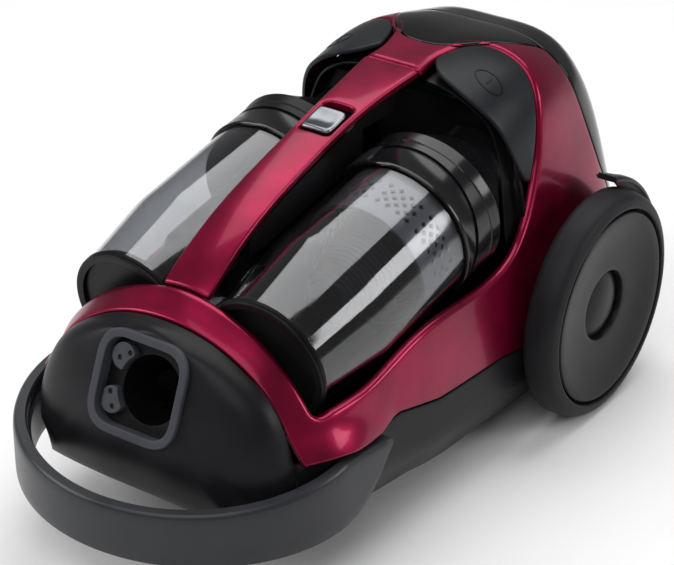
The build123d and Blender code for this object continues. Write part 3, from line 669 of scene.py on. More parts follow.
def make_spine():
    """Lacquered carry handle over the cups."""
    loop = plan_edge(SPINE, True)
    slot = plan_edge([(-12.1, -10.6, 4), (12.1, -10.6, 4), (12.1, 21, 5), (-12.1, 21, 5)], True)
    piece = cover("spine_handle", BODY, even(loop), [even(slot)], MATERIALS["pearl_lacquer_abs"],
                  wall=5.0, edge=1.8, grid=4.0)
    return seat(piece, "dust_bin", "red_gloss", "bin_spine")


def make_button():
    """Plated saddle-shaped latch button."""
    raised = Hull(HULL, lift=2.0)
    loop = plan_edge([(-11.2, -9.1, 4), (11.2, -9.1, 4), (11.2, 12.9, 4), (-11.2, 12.9, 4)], True, 1.2)
    piece = cover("latch_button_cap", raised, even(loop, 1.5), [], MATERIALS["satin_chrome_plate"], wall=5.0,
                  edge=2.0, grid=1.5)
    for vertex in piece.data.vertices:
        x, y = vertex.co.x / MM, vertex.co.y / MM
        dip = 1.7 * max(0.0, 1 - ((y - 1.5) / 9.5) ** 2) ** 1.5 * max(0.0, 1 - (x / 12) ** 4)
        vertex.co.z -= dip * MM
    return seat(piece, "latch", "chrome_button", "latch_button")


def make_pedal():
    """Foot pedals flush with the frame, each on its guided stem."""
    loop = plan_edge(PEDAL, True, 1.5)
    grey = MATERIALS["moulded_graphite_abs"]
    plate = cover("pedal_plate", BODY, even(loop, 1.8), [], grey, edge=1.2, grid=4.0)
    stem = lathe("pedal_stem", filleted([(0, 0.01), (0, 3.5), (7, 3.5), (7, 7), (11, 7), (11, 0.01)], 0.4),
                 (54, 112, 229), (0, 0, 1), grey, segments=32)
    ring = pedal_mark()
    right = join_pieces("power_pedal_plate", [plate, stem, ring])
    left = mirror_piece("rewind_pedal_plate", right)
    seat(left, "rewind_pedal", "pedal_grey", "pedal_left")
    return seat(right, "power_pedal", "pedal_grey", "pedal_right")


def make_shade_lining_and_clips():
    """Black lining under the pedals, a sheet of painted shade that darkens the gaps round them, and moulded clips
    beside the carry handle.
    """
    black, sunk = MATERIALS["satin_black_abs"], Hull(HULL, lift=-9.4)
    right = plan_edge([(23, 82, 3), (60, 83, 10), (86, 92, 8), (99, 84, 4), (95, 108, 10), (86, 129, 12),
                       (66, 141, 14), (38, 138, 10), (23, 124, 8)], True)
    # a black sheet sunk under the pedals: painted shade that makes the gaps round them read dark
    shade_sheet = cover("shade_lining_sheet", sunk, even(right), [], black, wall=1.6, edge=0.6)
    shade_lining = join_pieces("pedal_shade_lining", [mirror_piece("shade_lining_left", shade_sheet), shade_sheet])
    seat(shade_lining, "body", "black_satin")
    clips = []
    for start, length, low, high, radius in ((147.5, 20, 112, 140, 53.6), (143.2, 7, 150, 166, 55.0)):
        ring = lathe("clip", filleted([(start, 50.4, 0), (start, radius, 1.4), (min(start + length, 200), radius, 1.4),
                                       (start + length, 50.4, 0)], 1), (CUP_X, CUP_Y, CUP_Z), CUP_AXIS,
                     MATERIALS["moulded_graphite_abs"], segments=180, cut=BIN_END - 3.4)
        clips.append(trim_arc(ring, low, high))
    seat(join_pieces("collar_clips", clips), "dust_bin", "black_satin")


def trim_arc(piece, low, high):
    """Keeps the part of a turned piece on a cup's axis between two angles in degrees, and closes its ends."""
    inverse = cup_frame().inverted()
    work = bmesh.new()
    work.from_mesh(piece.data)
    work.transform(inverse)
    for degrees, keep in ((low, 1), (high, -1)):
        a = -math.radians(degrees)
        side = Vector((math.sin(a), -math.cos(a), 0)) * keep
        geometry = work.verts[:] + work.edges[:] + work.faces[:]
        cut = bmesh.ops.bisect_plane(work, geom=geometry, plane_co=(0, 0, 0), plane_no=side, clear_inner=True)
        rims = [e for e in cut["geom_cut"] if isinstance(e, bmesh.types.BMEdge)]
        bmesh.ops.holes_fill(work, edges=rims, sides=0)
    bmesh.ops.recalc_face_normals(work, faces=work.faces)
    work.transform(cup_frame())
    work.to_mesh(piece.data)
    work.free()
    return piece


def pedal_mark():
    """Raised ring with a bar: the plain on-off sign of a foot switch."""
    material, surface = MATERIALS["satin_black_abs"], Hull(HULL, lift=0.25)
    centre = np.array([BODY.from_plan(60, 103), 103.0])
    turn = np.radians(np.arange(0, 360, 7.5))
    circle = np.c_[np.cos(turn), np.sin(turn)]
    ring = cover("sign_ring", surface, centre + circle * 7.5, [centre + circle * 6.5], material, 0.6, 0.15, 1.0)
    bar = centre + np.array([(-0.5, -3), (0.5, -3), (0.5, 3), (-0.5, 3)])
    return join_pieces("sign", [ring, cover("sign_bar", surface, even(bar, 0.5), [], material, 0.6, 0.15, 0.5)])


# ------------------------------------------------------------------ nose, inlet and handle

def rounded_rectangle(width, height, reach, step=2.0):
    """Outline of a rectangle with rounded corners, about its centre."""
    w, h = width / 2, height / 2
    return soften([(-w, -h, reach), (w, -h, reach), (w, h, reach), (-w, h, reach)], True, step)


def make_nose():
    """Charcoal nose that domes forward from the arch to the inlet frame."""
    count, rows = 180, 26
    bearing = np.linspace(0, 2 * math.pi, count, endpoint=False)
    frame_edge = rounded_rectangle(66, 63, 18, 0.5)
    start = INLET_PLANE.place(frame_edge)
    angle = np.arctan2(frame_edge[:, 0], frame_edge[:, 1]) % (2 * math.pi)
    order = np.argsort(angle)
    wrap = np.r_[angle[order] - 2 * math.pi, angle[order], angle[order] + 2 * math.pi]
    a = np.stack([np.interp(bearing, wrap, np.tile(start[order, k], 3)) for k in range(3)], 1)
    outer = BODY.raw(np.c_[bearing * GIRTH, np.full(count, -160.4)])
    low = np.clip((70 - outer[:, 2]) / 24, 0, 1)
    outer[:, 1] -= 8 * low * np.clip(1 - (outer[:, 0] / 90) ** 4, 0, 1)
    middle = np.array([0, 0, HUB_Z + 4])
    b = middle + (outer - middle) * (1 - 0.8 / 70)
    b[:, 1] = outer[:, 1]
    gap = np.linalg.norm(b - a, axis=1, keepdims=True)
    flat = (b - a) * (1, 0, 1)
    leave = flat / np.linalg.norm(flat, axis=1, keepdims=True)
    leave[:, 1] = 0.28 * np.clip(leave[:, 2], 0, 1) - 0.20 * np.clip(-leave[:, 2], 0, 1)
    arrive = np.array([0, -1.0, 0])
    p1, p2 = a + leave * gap * 0.42, b + arrive * gap * 0.36
    t = np.linspace(0, 1, rows)[:, None, None]
    skin = (1 - t) ** 3 * a + 3 * t * (1 - t) ** 2 * p1 + 3 * t * t * (1 - t) * p2 + t ** 3 * b
    normal = np.cross(np.roll(skin, -1, 1) - np.roll(skin, 1, 1), np.gradient(skin, axis=0))
    normal /= np.linalg.norm(normal, axis=2, keepdims=True)
    hub = skin - np.array([0, -140, 100])
    normal *= np.sign((normal * hub).sum(2, keepdims=True))
    inner = skin - normal * WALL
    layers = list(skin) + list(inner[::-1])
    vertices = np.concatenate(layers)
    faces, total = [], len(layers)
    for k in range(total):
        m, n = k * count, (k + 1) % total * count
        faces += [(m + i, m + (i + 1) % count, n + (i + 1) % count, n + i) for i in range(count)]
    piece = new_object("nose_moulding", vertices, faces, MATERIALS["textured_charcoal_abs"])
    return seat(piece, "body", "charcoal", "nose_panel")


def make_inlet():
    """Rounded inlet frame, its sunk floor with the bore, and the contact lobes."""
    grey = MATERIALS["satin_mid_grey_abs"]
    front = Flat(INLET - 3 * INLET_IN, INLET_PLANE.u,
                 INLET_PLANE.v)
    rim = cover("inlet_rim", front, rounded_rectangle(68, 65, 20, 1.2), [rounded_rectangle(57, 54, 14, 1.2)],
                grey, wall=12.0, edge=0.8, grid=3.0)
    turn = np.radians(np.arange(0, 360, 4))
    bore = np.c_[HOSE_X + HOSE_R * np.cos(turn), HOSE_R * np.sin(turn)]
    sunk = Flat(front.origin + 9 * INLET_IN, front.u, front.v)
    black = MATERIALS["satin_black_abs"]
    floor = cover("inlet_floor", sunk, rounded_rectangle(57.6, 54.6, 14, 1.2), [bore], black, wall=3.0, edge=0.2,
                  grid=3.0)
    seat(join_pieces("inlet_frame_moulding", [rim, floor]), "body", "mid_grey", "inlet_frame")
    lobe_face = Flat(front.origin + 4 * INLET_IN, front.u,
                     front.v)
    lobes = []
    for (cx, cy), holes in (((-17, 15), [(-19.5, 13.5), (-12.5, 18.0)]), ((-19, -13), [(-21, -8.5), (-17.5, -17)])):
        ring = np.c_[cx + 8.5 * np.cos(turn), cy + 8.5 * np.sin(turn)]
        away = ring - (HOSE_X, 0)
        reach = np.linalg.norm(away, axis=1, keepdims=True)
        ring = (HOSE_X, 0) + away * np.maximum(1, (HOSE_R + 1) / reach)
        ring = np.clip(ring, (-26, -24), (26, 24))
        cups = [np.c_[x + 1.7 * np.cos(turn[::5]), y + 1.7 * np.sin(turn[::5])] for x, y in holes]
        lobes.append(cover("lobe", lobe_face, even(ring, 1.0), cups, grey, wall=5.0, edge=0.4, grid=1.5))
    return seat(join_pieces("contact_lobes", lobes), "body", "mid_grey", "contact_sockets")


def handle_path():
    """Plan path of the bow's outer face: points and outward normals."""
    turn = np.radians(np.linspace(180, 360, 121))
    bow = np.c_[LOOP_HALF * np.cos(turn), LOOP_Y + LOOP_DEEP * np.sin(turn)]
    arm = np.arange(-90, LOOP_Y, -4.0)
    path = np.r_[np.c_[np.full(len(arm), -LOOP_HALF), arm], bow, np.c_[np.full(len(arm), LOOP_HALF), arm[::-1]]]
    tangent = np.gradient(path, axis=0)
    tangent /= np.linalg.norm(tangent, axis=1, keepdims=True)
    return path, np.c_[tangent[:, 1], -tangent[:, 0]]


def make_handle():
    """Bow-shaped front handle with a stepped inner lip."""
    path, out = handle_path()
    ring = [(-0.5, 0.0), (-3, -0.02), (-8.5, -0.02), (-11, 0.06), (-11.6, 0.2), (-11.6, 0.66), (-11.2, 0.74),
            (-9.6, 0.77), (-9.2, 0.82), (-9.2, 0.93), (-8.8, 0.975), (-8, 1.0), (-2.4, 1.0), (-1.2, 0.975),
            (-0.4, 0.92), (-0.1, 0.8), (0, 0.5), (0, 0.2), (-0.1, 0.06)]
    sections = []
    for (x, y), (nx, ny) in zip(path, out):
        bottom = np.interp(y, (-250, -137, -124, -112, -101, -91), (45, 48, 51, 58, 68, 82))
        top = np.interp(y, (-250, -137, -92), (79, 91, 86))
        section = [(x + nx * d, y + ny * d, bottom + (top - bottom) * f) for d, f in ring]
        sections.append(section)
    piece = sweep("bow_handle", sections, MATERIALS["satin_grey_polypropylene"], 35)
    return seat(piece, "body", "handle_grey", "front_handle")


# ------------------------------------------------------------------ wheels

def make_wheels():
    """Rear wheels: soft tyre ring, dark groove, dished disc and sunk hub cap."""
    centre, axis = (WHEEL_IN, WHEEL_Y, WHEEL_Z), (1, 0, 0)
    black = MATERIALS["satin_black_abs"]
    tyre = lathe("tyre_ring", filleted([(1, DISC_R, 0), (1, 77, 2), (4, WHEEL_R, 3), (15, WHEEL_R, 5), (22.5, 77.5, 6),
                                        (24.8, 71, 2), (24.3, DISC_R + 1.0, 1), (19, DISC_R + 0.6, 0), (19, DISC_R, 0)],
                                       1), centre, axis, MATERIALS["soft_tread_rubber"])
    face = [(23.2, 67.2), (23.9, 66.4), (24.0, 65.2), (23.2, 60.0), (21.6, 52.0), (20.2, 44.0), (19.2, 36.0),
            (18.7, 29.0), (18.5, 26.0), (18.2, 25.0), (17.4, 24.5)]
    disc = lathe("wheel_dish", [(2.5, 5.2), (2.5, 63.0), (2.5, DISC_R - 0.2), (18.5, DISC_R - 0.2), (19.0, 67.4)] + face
                 + [(13.6, 24.4), (13.6, 5.2)], centre, axis, black)
    crown = [(13.8 + 4.6 * (1 - (r / 24.0) ** 2.2), r) for r in (24.0, 23.2, 21.5, 19, 16, 12, 8, 4, 0.01)]
    cap = lathe("hub_dome", [(13.7, 0.01), (13.7, 24.0)] + crown, centre, axis, black)
    for right, slot, node in ((tyre, "tyre_rubber", "tyre"), (disc, "wheel_grey", "wheel_disc"),
                              (cap, "wheel_grey", "hub_cap")):
        left = mirror_piece(right.name + "_left", right)
        right.name += "_right"
        seat(right, "wheel_right", slot, node + "_right")
        seat(left, "wheel_left", slot, node + "_left")


def make_guards():
    """Curved guards over the wheels, each with a heel at its rear end."""
    grey = MATERIALS["moulded_graphite_abs"]
    rings = []
    for degrees in np.arange(-8, 76.1, 2.0):
        a = math.radians(degrees)
        taper = min(1.0, (82 - degrees) / 14.0) ** 0.5
        inner_x = 127 - 22 * taper
        section = soften([(inner_x, 84.2, 0), (127, 84.2, 0.8), (127.2, 86.2, 1.2), (125.4, 88, 2), (inner_x, 88.2, 0)],
                         True, 4)
        rings.append([(x, WHEEL_Y + r * math.cos(a), WHEEL_Z + r * math.sin(a)) for x, r in section])
    count = min(len(r) for r in rings)
    rings = [r[:count] for r in rings]
    arc = sweep("guard_arc", rings, grey)
    heel_line = soften([(118, 50, 4), (127, 50, 2), (127.4, 77, 3), (113, 79, 3), (112, 54, 4)], True, 3)
    heel = sweep("guard_heel", [[(x, y, z) for x, z in heel_line] for y in (221.6, 224, 229.6, 231.4)], grey)
    right = join_pieces("wheel_guard_right", [arc, heel])
    left = mirror_piece("wheel_guard_left", right)
    seat(join_pieces("wheel_guard_pair", [right, left]), "body", "charcoal", "wheel_guards")


# ------------------------------------------------------------------ dust bin

def cup_lathe(name, profile, material, side=1, cut=BIN_END - 3.2, segments=144):
    """A turned piece on a cup's axis whose rear is trimmed upright."""
    return lathe(name, profile, (side * CUP_X, CUP_Y, CUP_Z), CUP_AXIS, material, segments=segments, cut=cut)


def make_cups():
    """The two clear cups with their front caps and rear collars."""
    wall = [(3.1, 42.5), (30, 46.1), (FLARE - 6, 49.3), (FLARE, 49.9), (FLARE + 8, CUP_R1), (200, CUP_R1),
            (200, CUP_R1 - CUP_WALL), (FLARE + 8, CUP_R1 - CUP_WALL), (FLARE, 47.9), (FLARE - 6, 47.3), (30, 44.1),
            (3.1, 40.5)]
    seat(cup_lathe("smoky_cup", wall, MATERIALS["smoked_polycarbonate"]), "dust_bin", "smoke_clear",
         "bin_cup_right")
    seat(cup_lathe("light_cup", wall, MATERIALS["clear_polycarbonate"], -1), "dust_bin", "light_clear",
         "bin_cup_left")
    cap = filleted([(-2, 38, 0.5), (-2, 43.0, 0.8), (-0.4, 43.6, 0.4), (-0.2, 42.7, 0.2), (0.5, 42.7, 0.2),
                    (0.8, 43.7, 0.5), (3, 43.7, 0.6), (3, 40.4, 0), (8, 40.2, 0.6), (8, 37.6, 0.6), (3, 37.5, 0),
                    (3, 0.01, 0), (1, 0.01, 0), (1, 38, 0.6)], 0.4)
    collar = filleted([(146.0, 50.06, 0), (145.6, 52.2, 0.7), (148.0, 52.4, 0.7), (148.6, 51.6, 0.3), (200, 51.6, 0),
                       (200, 50.06, 0)], 0.3)
    caps = [cup_lathe("front_cap", cap, MATERIALS["satin_black_abs"], side) for side in (1, -1)]
    seat(join_pieces("front_caps", caps), "dust_bin", "smoke_clear", "bin_caps")
    collars = [cup_lathe("rear_collar", collar, MATERIALS["polished_graphite_abs"], side) for side in (1, -1)]
    seat(join_pieces("rear_collars", collars), "dust_bin", "black_satin", "bin_collars")


def make_cyclones():
    """Right-hand cyclone: ribbed cone under the silver sleeve; left-hand cyclone: plain tube."""
    grey = MATERIALS["ribbed_grey_abs"]
    shell = cup_lathe("cone_shell", [(64, 16.8), (106, 26.8), (106, 24.6), (64, 14.6)], grey, cut=300)
    ribs = ring_ribs("cone_ribs", 66.0, 105.0, 17.2, 26.6, bpy.context.scene.vacuum_bin.ribs, grey)
    seat(join_pieces("ribbed_cone", [shell, ribs]), "dust_bin", "black_satin", "cyclone_cone")
    tube = cup_lathe("finder_tube", filleted([(60, 22, 1), (136.8, 22, 2), (136.8, 47.6, 1), (140.5, 47.6, 1),
                                              (140.5, 19, 0), (60, 19, 1)], 0.5), MATERIALS["moulded_graphite_abs"], -1)
    seat(tube, "dust_bin", "black_satin", "second_cyclone")


def make_sleeve():
    """Silver sleeve with diamond patches of square holes."""
    sleeve = perforated_sleeve("perforated_sleeve", MATERIALS["silver_paint"])
    lip = cup_lathe("sleeve_lip", filleted([(105.2, 41.8, 0.5), (105.2, 44.8, 0.8), (107.4, 45.2, 0.5),
                                            (107.4, 42.6, 0)], 0.4), MATERIALS["silver_paint"])
    seat(join_pieces("silver_sleeve", [sleeve, lip]), "dust_bin", "silver_mesh", "bin_grille")


# ------------------------------------------------------------------ geometry nodes pieces

def node_group(name, inputs):
    """An empty geometry node group with named inputs: (name, socket kind, default)."""
    group = bpy.data.node_groups.new(name, "GeometryNodeTree")
    group.interface.new_socket("Geometry", in_out="INPUT", socket_type="NodeSocketGeometry")
    for label, kind, default in inputs:
        socket = group.interface.new_socket(label, in_out="INPUT", socket_type=kind)
        if default is not None:
            socket.default_value = default
    group.interface.new_socket("Geometry", in_out="OUTPUT", socket_type="NodeSocketGeometry")
    return group, add_node(group, "NodeGroupInput"), add_node(group, "NodeGroupOutput")


def math_node(tree, operation, a, b=0.0):
    """Result socket of a Math node."""
    return add_node(tree, "ShaderNodeMath", {"operation": operation}, i0=a, i1=b).outputs[0]


def grown(name, group, values, holder=None):
    """The plain mesh that a geometry node group makes from its named inputs, and from a blank if given."""
    if holder is None:
        holder = linked(name + "_source", bpy.data.meshes.new(name + "_source"))
    modifier = holder.modifiers.new(name, "NODES")
    modifier.node_group = group
    for item in group.interface.items_tree:
        if item.in_out == "INPUT" and item.name in values:
            modifier[item.identifier] = values[item.name]
    holder.update_tag()
    evaluated = holder.evaluated_get(bpy.context.evaluated_depsgraph_get())
    mesh = bpy.data.meshes.new_from_object(evaluated)
    holder.modifiers.remove(modifier)
    bpy.data.objects.remove(holder)
    return linked(name, mesh)


def finish_group(group, out, geometry, material_socket):
    """Ends a group with Realize Instances and Set Material."""
    real = add_node(group, "GeometryNodeRealizeInstances", Geometry=geometry).outputs[0]
    shown = add_node(group, "GeometryNodeSetMaterial", Geometry=real, Material=material_socket).outputs[0]
    group.links.new(shown, out.inputs[0])


def cup_frame(side=1):
    """Matrix from a cup's own frame, with Z along its axis, to the row frame."""
    along, across = Vector(CUP_AXIS), Vector((1, 0, 0))
    third = along.cross(across)
    turn = Matrix((across, third, along)).transposed().to_4x4()
    return Matrix.Translation(Vector((side * CUP_X, CUP_Y, CUP_Z)) * MM) @ turn


def ring_ribs(name, start, end, r0, r1, count, material):
    """Evenly spaced round ribs that widen along a cup's axis."""
    group, given, out = node_group("ribs_along_cone", [
        ("Start", "NodeSocketVector", None), ("End", "NodeSocketVector", None), ("Count", "NodeSocketInt", 12),
        ("First Radius", "NodeSocketFloat", 0.01), ("Last Radius", "NodeSocketFloat", 0.02),
        ("Rib Radius", "NodeSocketFloat", 0.001), ("Material", "NodeSocketMaterial", None)])
    count_socket = given.outputs["Count"]
    line = add_node(group, "GeometryNodeMeshLine", {"mode": "END_POINTS"}, Count=count_socket)
    group.links.new(given.outputs["Start"], line.inputs["Start Location"])
    group.links.new(given.outputs["End"], line.inputs[3])
    ring = add_node(group, "GeometryNodeCurvePrimitiveCircle", i0=72)
    ring.inputs["Radius"].default_value = 1.0
    index = add_node(group, "GeometryNodeInputIndex").outputs[0]
    last = math_node(group, "SUBTRACT", count_socket, 1.0)
    span = add_node(group, "ShaderNodeMapRange", Value=index, From_Max=last, To_Min=given.outputs["First Radius"],
                    To_Max=given.outputs["Last Radius"]).outputs[0]
    put = add_node(group, "GeometryNodeInstanceOnPoints", Points=line.outputs[0], Instance=ring.outputs[0],
                   Scale=span)
    bead = add_node(group, "GeometryNodeCurvePrimitiveCircle", i0=8, Radius=given.outputs["Rib Radius"])
    real = add_node(group, "GeometryNodeRealizeInstances", Geometry=put.outputs[0]).outputs[0]
    solid = add_node(group, "GeometryNodeCurveToMesh", i0=real)
    group.links.new(bead.outputs[0], solid.inputs["Profile Curve"])
    finish_group(group, out, solid.outputs[0], given.outputs["Material"])
    piece = grown(name, group, {"Start": (0, 0, start * MM), "End": (0, 0, end * MM), "Count": count,
                                "First Radius": r0 * MM, "Last Radius": r1 * MM, "Rib Radius": 0.9 * MM,
                                "Material": material})
    piece.data.transform(cup_frame())
    piece.data.shade_smooth()
    return piece


def perforated_sleeve(name, material):
    """Turned sleeve cut by square holes that stand on their corners in diamond patches."""
    group, given, out = node_group("diamond_perforations", [
        ("Patches", "NodeSocketInt", 9), ("First Angle", "NodeSocketFloat", 0.0),
        ("Pitch", "NodeSocketFloat", 0.004), ("Hole", "NodeSocketFloat", 0.003), ("Radius", "NodeSocketFloat", 0.045),
        ("Station", "NodeSocketFloat", 0.12), ("Material", "NodeSocketMaterial", None)])
    radius, pitch = given.outputs["Radius"], given.outputs["Pitch"]
    total = math_node(group, "MULTIPLY", given.outputs["Patches"], PATCH_SIDE ** 2)
    points = add_node(group, "GeometryNodeMeshLine", Count=total).outputs[0]
    index = add_node(group, "GeometryNodeInputIndex").outputs[0]
    patch = math_node(group, "FLOOR", math_node(group, "DIVIDE", index, PATCH_SIDE ** 2))
    within = math_node(group, "MODULO", index, PATCH_SIDE ** 2)
    i = math_node(group, "MODULO", within, PATCH_SIDE)
    j = math_node(group, "FLOOR", math_node(group, "DIVIDE", within, PATCH_SIDE))
    late = math_node(group, "GREATER_THAN", j, 2.5)
    off = math_node(group, "ABSOLUTE", math_node(group, "SUBTRACT", i, math_node(group, "ADD", late, 2.0)))
    half = math_node(group, "MINIMUM", j, math_node(group, "SUBTRACT", 5.0, j))
    keep = math_node(group, "LESS_THAN", off, math_node(group, "ADD", half, 0.5))
    along = math_node(group, "MULTIPLY", math_node(group, "SUBTRACT", i, j), pitch)
    around = math_node(group, "MULTIPLY", math_node(group, "SUBTRACT", math_node(group, "ADD", i, j), 5.0), pitch)
    step = math_node(group, "DIVIDE", 2 * math.pi, given.outputs["Patches"])
    angle = math_node(group, "ADD", given.outputs["First Angle"], math_node(group, "MULTIPLY", patch, step))
    angle = math_node(group, "ADD", angle, math_node(group, "DIVIDE", around, radius))
    place = add_node(group, "ShaderNodeCombineXYZ",
                     X=math_node(group, "MULTIPLY", radius, math_node(group, "COSINE", angle)),
                     Y=math_node(group, "MULTIPLY", radius, math_node(group, "SINE", angle)),
                     Z=math_node(group, "ADD", given.outputs["Station"], along)).outputs[0]
    moved = add_node(group, "GeometryNodeSetPosition", Geometry=points, Position=place).outputs[0]
    size = add_node(group, "ShaderNodeCombineXYZ", X=0.008, Y=given.outputs["Hole"],
                    Z=given.outputs["Hole"]).outputs[0]
    cutter = add_node(group, "GeometryNodeMeshCube", Size=size).outputs[0]
    turn = add_node(group, "ShaderNodeCombineXYZ", X=math.radians(45), Z=angle).outputs[0]
    put = add_node(group, "GeometryNodeInstanceOnPoints", Points=moved, Selection=keep, Instance=cutter,
                   Rotation=turn).outputs[0]
    cutters = add_node(group, "GeometryNodeRealizeInstances", Geometry=put).outputs[0]
    cut = add_node(group, "GeometryNodeMeshBoolean", {"operation": "DIFFERENCE"}, i0=given.outputs["Geometry"],
                   i1=cutters).outputs[0]
    finish_group(group, out, cut, given.outputs["Material"])
    blank = lathe("sleeve_blank", [(106.4, 44.1), (132, 46.0), (146, 46.0), (146, 44.6), (132, 44.6), (106.4, 42.7)],
                  (0, 0, 0), (0, 0, 1), material, segments=128)
    props = bpy.context.scene.vacuum_bin
    piece = grown(name, group, {"Patches": props.patches, "First Angle": -math.radians(67), "Pitch": PITCH * MM,
                                "Hole": props.hole, "Radius": 45.4 * MM, "Station": 126 * MM,
                                "Material": material}, blank)
    piece.data.transform(cup_frame())
    piece.data.shade_smooth()
    piece.data.set_sharp_from_angle(angle=math.radians(30))
    return piece


def louvre_slats(name, material):
    """Slanted slats stacked up the exhaust window."""
    group, given, out = node_group("stacked_slats", [
        ("Start", "NodeSocketVector", None), ("Step", "NodeSocketVector", None), ("Count", "NodeSocketInt", 9),
        ("Slat Size", "NodeSocketVector", None), ("Slant", "NodeSocketVector", None),
        ("Material", "NodeSocketMaterial", None)])
    line = add_node(group, "GeometryNodeMeshLine", Count=given.outputs["Count"])
    group.links.new(given.outputs["Start"], line.inputs["Start Location"])
    group.links.new(given.outputs["Step"], line.inputs["Offset"])
    slat = add_node(group, "GeometryNodeMeshCube", Size=given.outputs["Slat Size"]).outputs[0]
    put = add_node(group, "GeometryNodeInstanceOnPoints", Points=line.outputs[0], Instance=slat,
                   Rotation=given.outputs["Slant"]).outputs[0]
    finish_group(group, out, put, given.outputs["Material"])
    return grown(name, group, {"Start": (0, 0.2385, 0.0902), "Step": (0, 0, 0.0072), "Count": 9,
                               "Slat Size": (0.0575, 0.0042, 0.0022), "Slant": (math.radians(-18), 0, 0),
                               "Material": material})


# ------------------------------------------------------------------ exhaust, housings and small parts

def make_exhaust():
    """Louvred exhaust cover: a rounded frame with slats."""
    black = MATERIALS["satin_black_abs"]
    plane = Flat((0, 241.5, 120), (-1, 0, 0), (0, 0, 1))
    rim = cover("louvre_rim", plane, rounded_rectangle(66.8, 66.8, 6), [rounded_rectangle(56, 56.5, 4)], black,
                wall=5.0, edge=0.8)
    piece = join_pieces("louvred_cover", [rim, louvre_slats("slats", black)])
    seat(piece, "exhaust_cover", "black_satin", "exhaust_grille")


def make_housings():
    """Dark cylinders behind the cups, each with a raised ring and a throat towards the motor."""
    start = (BIN_END - CUP_Y) / math.cos(CUP_TILT)
    smooth, black = MATERIALS["polished_graphite_abs"], MATERIALS["satin_black_abs"]
    profile = filleted([(start - 14, 51.4, 0), (174, 51.4, 0), (174.4, 50.9, 0.2), (175.2, 50.9, 0.2),
                        (175.6, 51.4, 0), (178, 51.4, 0.4), (178.4, 52.3, 0.5), (184, 52.3, 0.8), (184.8, 50.8, 0.5),
                        (222, 27, 3), (236, 27, 0), (236, 24, 0), (222, 24, 3), (184, 48.4, 2),
                        (start - 14, 48.4, 0)], 0.3)
    pieces = []
    for side in (1, -1):
        piece = lathe("housing", profile, (side * CUP_X, CUP_Y, CUP_Z), CUP_AXIS,
                      smooth if side > 0 else black, segments=144, front=BIN_END + 0.7)
        pieces.append(piece)
    seat(join_pieces("filter_housing_pair", pieces), "body", "black_satin", "filter_housings")


def make_caster():
    """Front caster: wheel and tread."""
    black, tread = MATERIALS["satin_black_abs"], MATERIALS["soft_tread_rubber"]
    y = CASTER_Y + CASTER_TRAIL
    wheel = lathe("caster_disc", filleted([(-8, 2.7, 0), (-8, 5, 0.8), (-5.5, 6.5, 0.8), (-5.5, 11, 1), (-8, 12.9, 1),
                                           (8, 12.9, 1), (5.5, 11, 1), (5.5, 6.5, 0.8), (8, 5, 0.8), (8, 2.7, 0)],
                                          0.5), (0, y, CASTER_R), (1, 0, 0), black, segments=64)
    tyre = lathe("caster_tread", filleted([(-7, 13, 0), (-7, CASTER_R, 2), (7, CASTER_R, 2), (7, 13, 0)], 1),
                 (0, y, CASTER_R), (1, 0, 0), tread, segments=64)
    seat(wheel, "caster_roller", "wheel_grey", "caster_wheel")
    seat(tyre, "caster_roller", "tyre_rubber", "caster_tyre")


def finish_nodes():
    """Gives every CAD node that stays in view a finish."""
    for material, names in NODE_FINISH.items():
        for name in names.split():
            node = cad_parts[name]
            node.data.materials.clear()
            node.data.materials.append(MATERIALS[material])


# ------------------------------------------------------------------ stage

def area_light(name, size, energy, place, target):
    """Soft rectangular light aimed at a point; size, place and target are in metres."""
    lamp = bpy.data.lights.new(name, "AREA")
    lamp.shape, (lamp.size, lamp.size_y) = "RECTANGLE", size
    lamp.energy = energy
    light = linked(name, lamp)
    light.location = place
    light.rotation_euler = (Vector(target) - Vector(place)).to_track_quat("-Z", "Y").to_euler()


def make_stage(props):
    """Camera, pale floor, soft lights and a pale world."""
    camera = linked("camera", bpy.data.cameras.new("camera"))
    camera.data.lens, camera.data.sensor_width, camera.data.clip_end = props.lens, 36.0, 20.0
    camera.location = CAMERA_AT
    camera.rotation_euler = (CAMERA_TO - CAMERA_AT).to_track_quat("-Z", "Y").to_euler()
    bpy.context.scene.camera = camera
    floor = bpy.data.materials.new("studio_floor")
    floor.use_nodes = True
    shader = floor.node_tree.nodes["Principled BSDF"]
    shader.inputs["Base Color"].default_value = linear("F4F4F4")
    shader.inputs["Roughness"].default_value = 0.6
    plate = bpy.data.meshes.new("floor")
    plate.from_pydata([(-6, -6, 0), (6, -6, 0), (6, 6, 0), (-6, 6, 0)], [], [(0, 1, 2, 3)])
    plate.materials.append(floor)
    ground = linked("floor", plate)
    bpy.context.scene.view_settings.view_transform = "Standard"
    world = bpy.data.worlds.new("studio")
    bpy.context.scene.world = world
    world.use_nodes = True
    world.node_tree.nodes["Background"].inputs[0].default_value = linear("F2F2F4")
    world.node_tree.nodes["Background"].inputs[1].default_value = props.fill
    for name, size, energy, place, target in LIGHTS:
        area_light(name, size, energy * props.key, place, target)


# Size, power in watts, place and aim of each light, in metres.
LIGHTS = [
    ("overhead", (2.2, 1.4), 30, (-0.2, 0.7, 1.9), (0, 0.05, 0.1)),
    ("right_box", (0.7, 0.6), 8, (1.5, 0.75, 0.8), (0, 0.05, 0.12)),
    ("front_left", (0.9, 0.7), 12, (-1.3, -1.1, 0.9), (0, -0.05, 0.1)),
    ("floor_wash", (3.0, 2.0), 42, (0.3, -1.9, 2.4), (0.1, -0.3, 0.0)),
]


# ------------------------------------------------------------------ properties, operators and panel

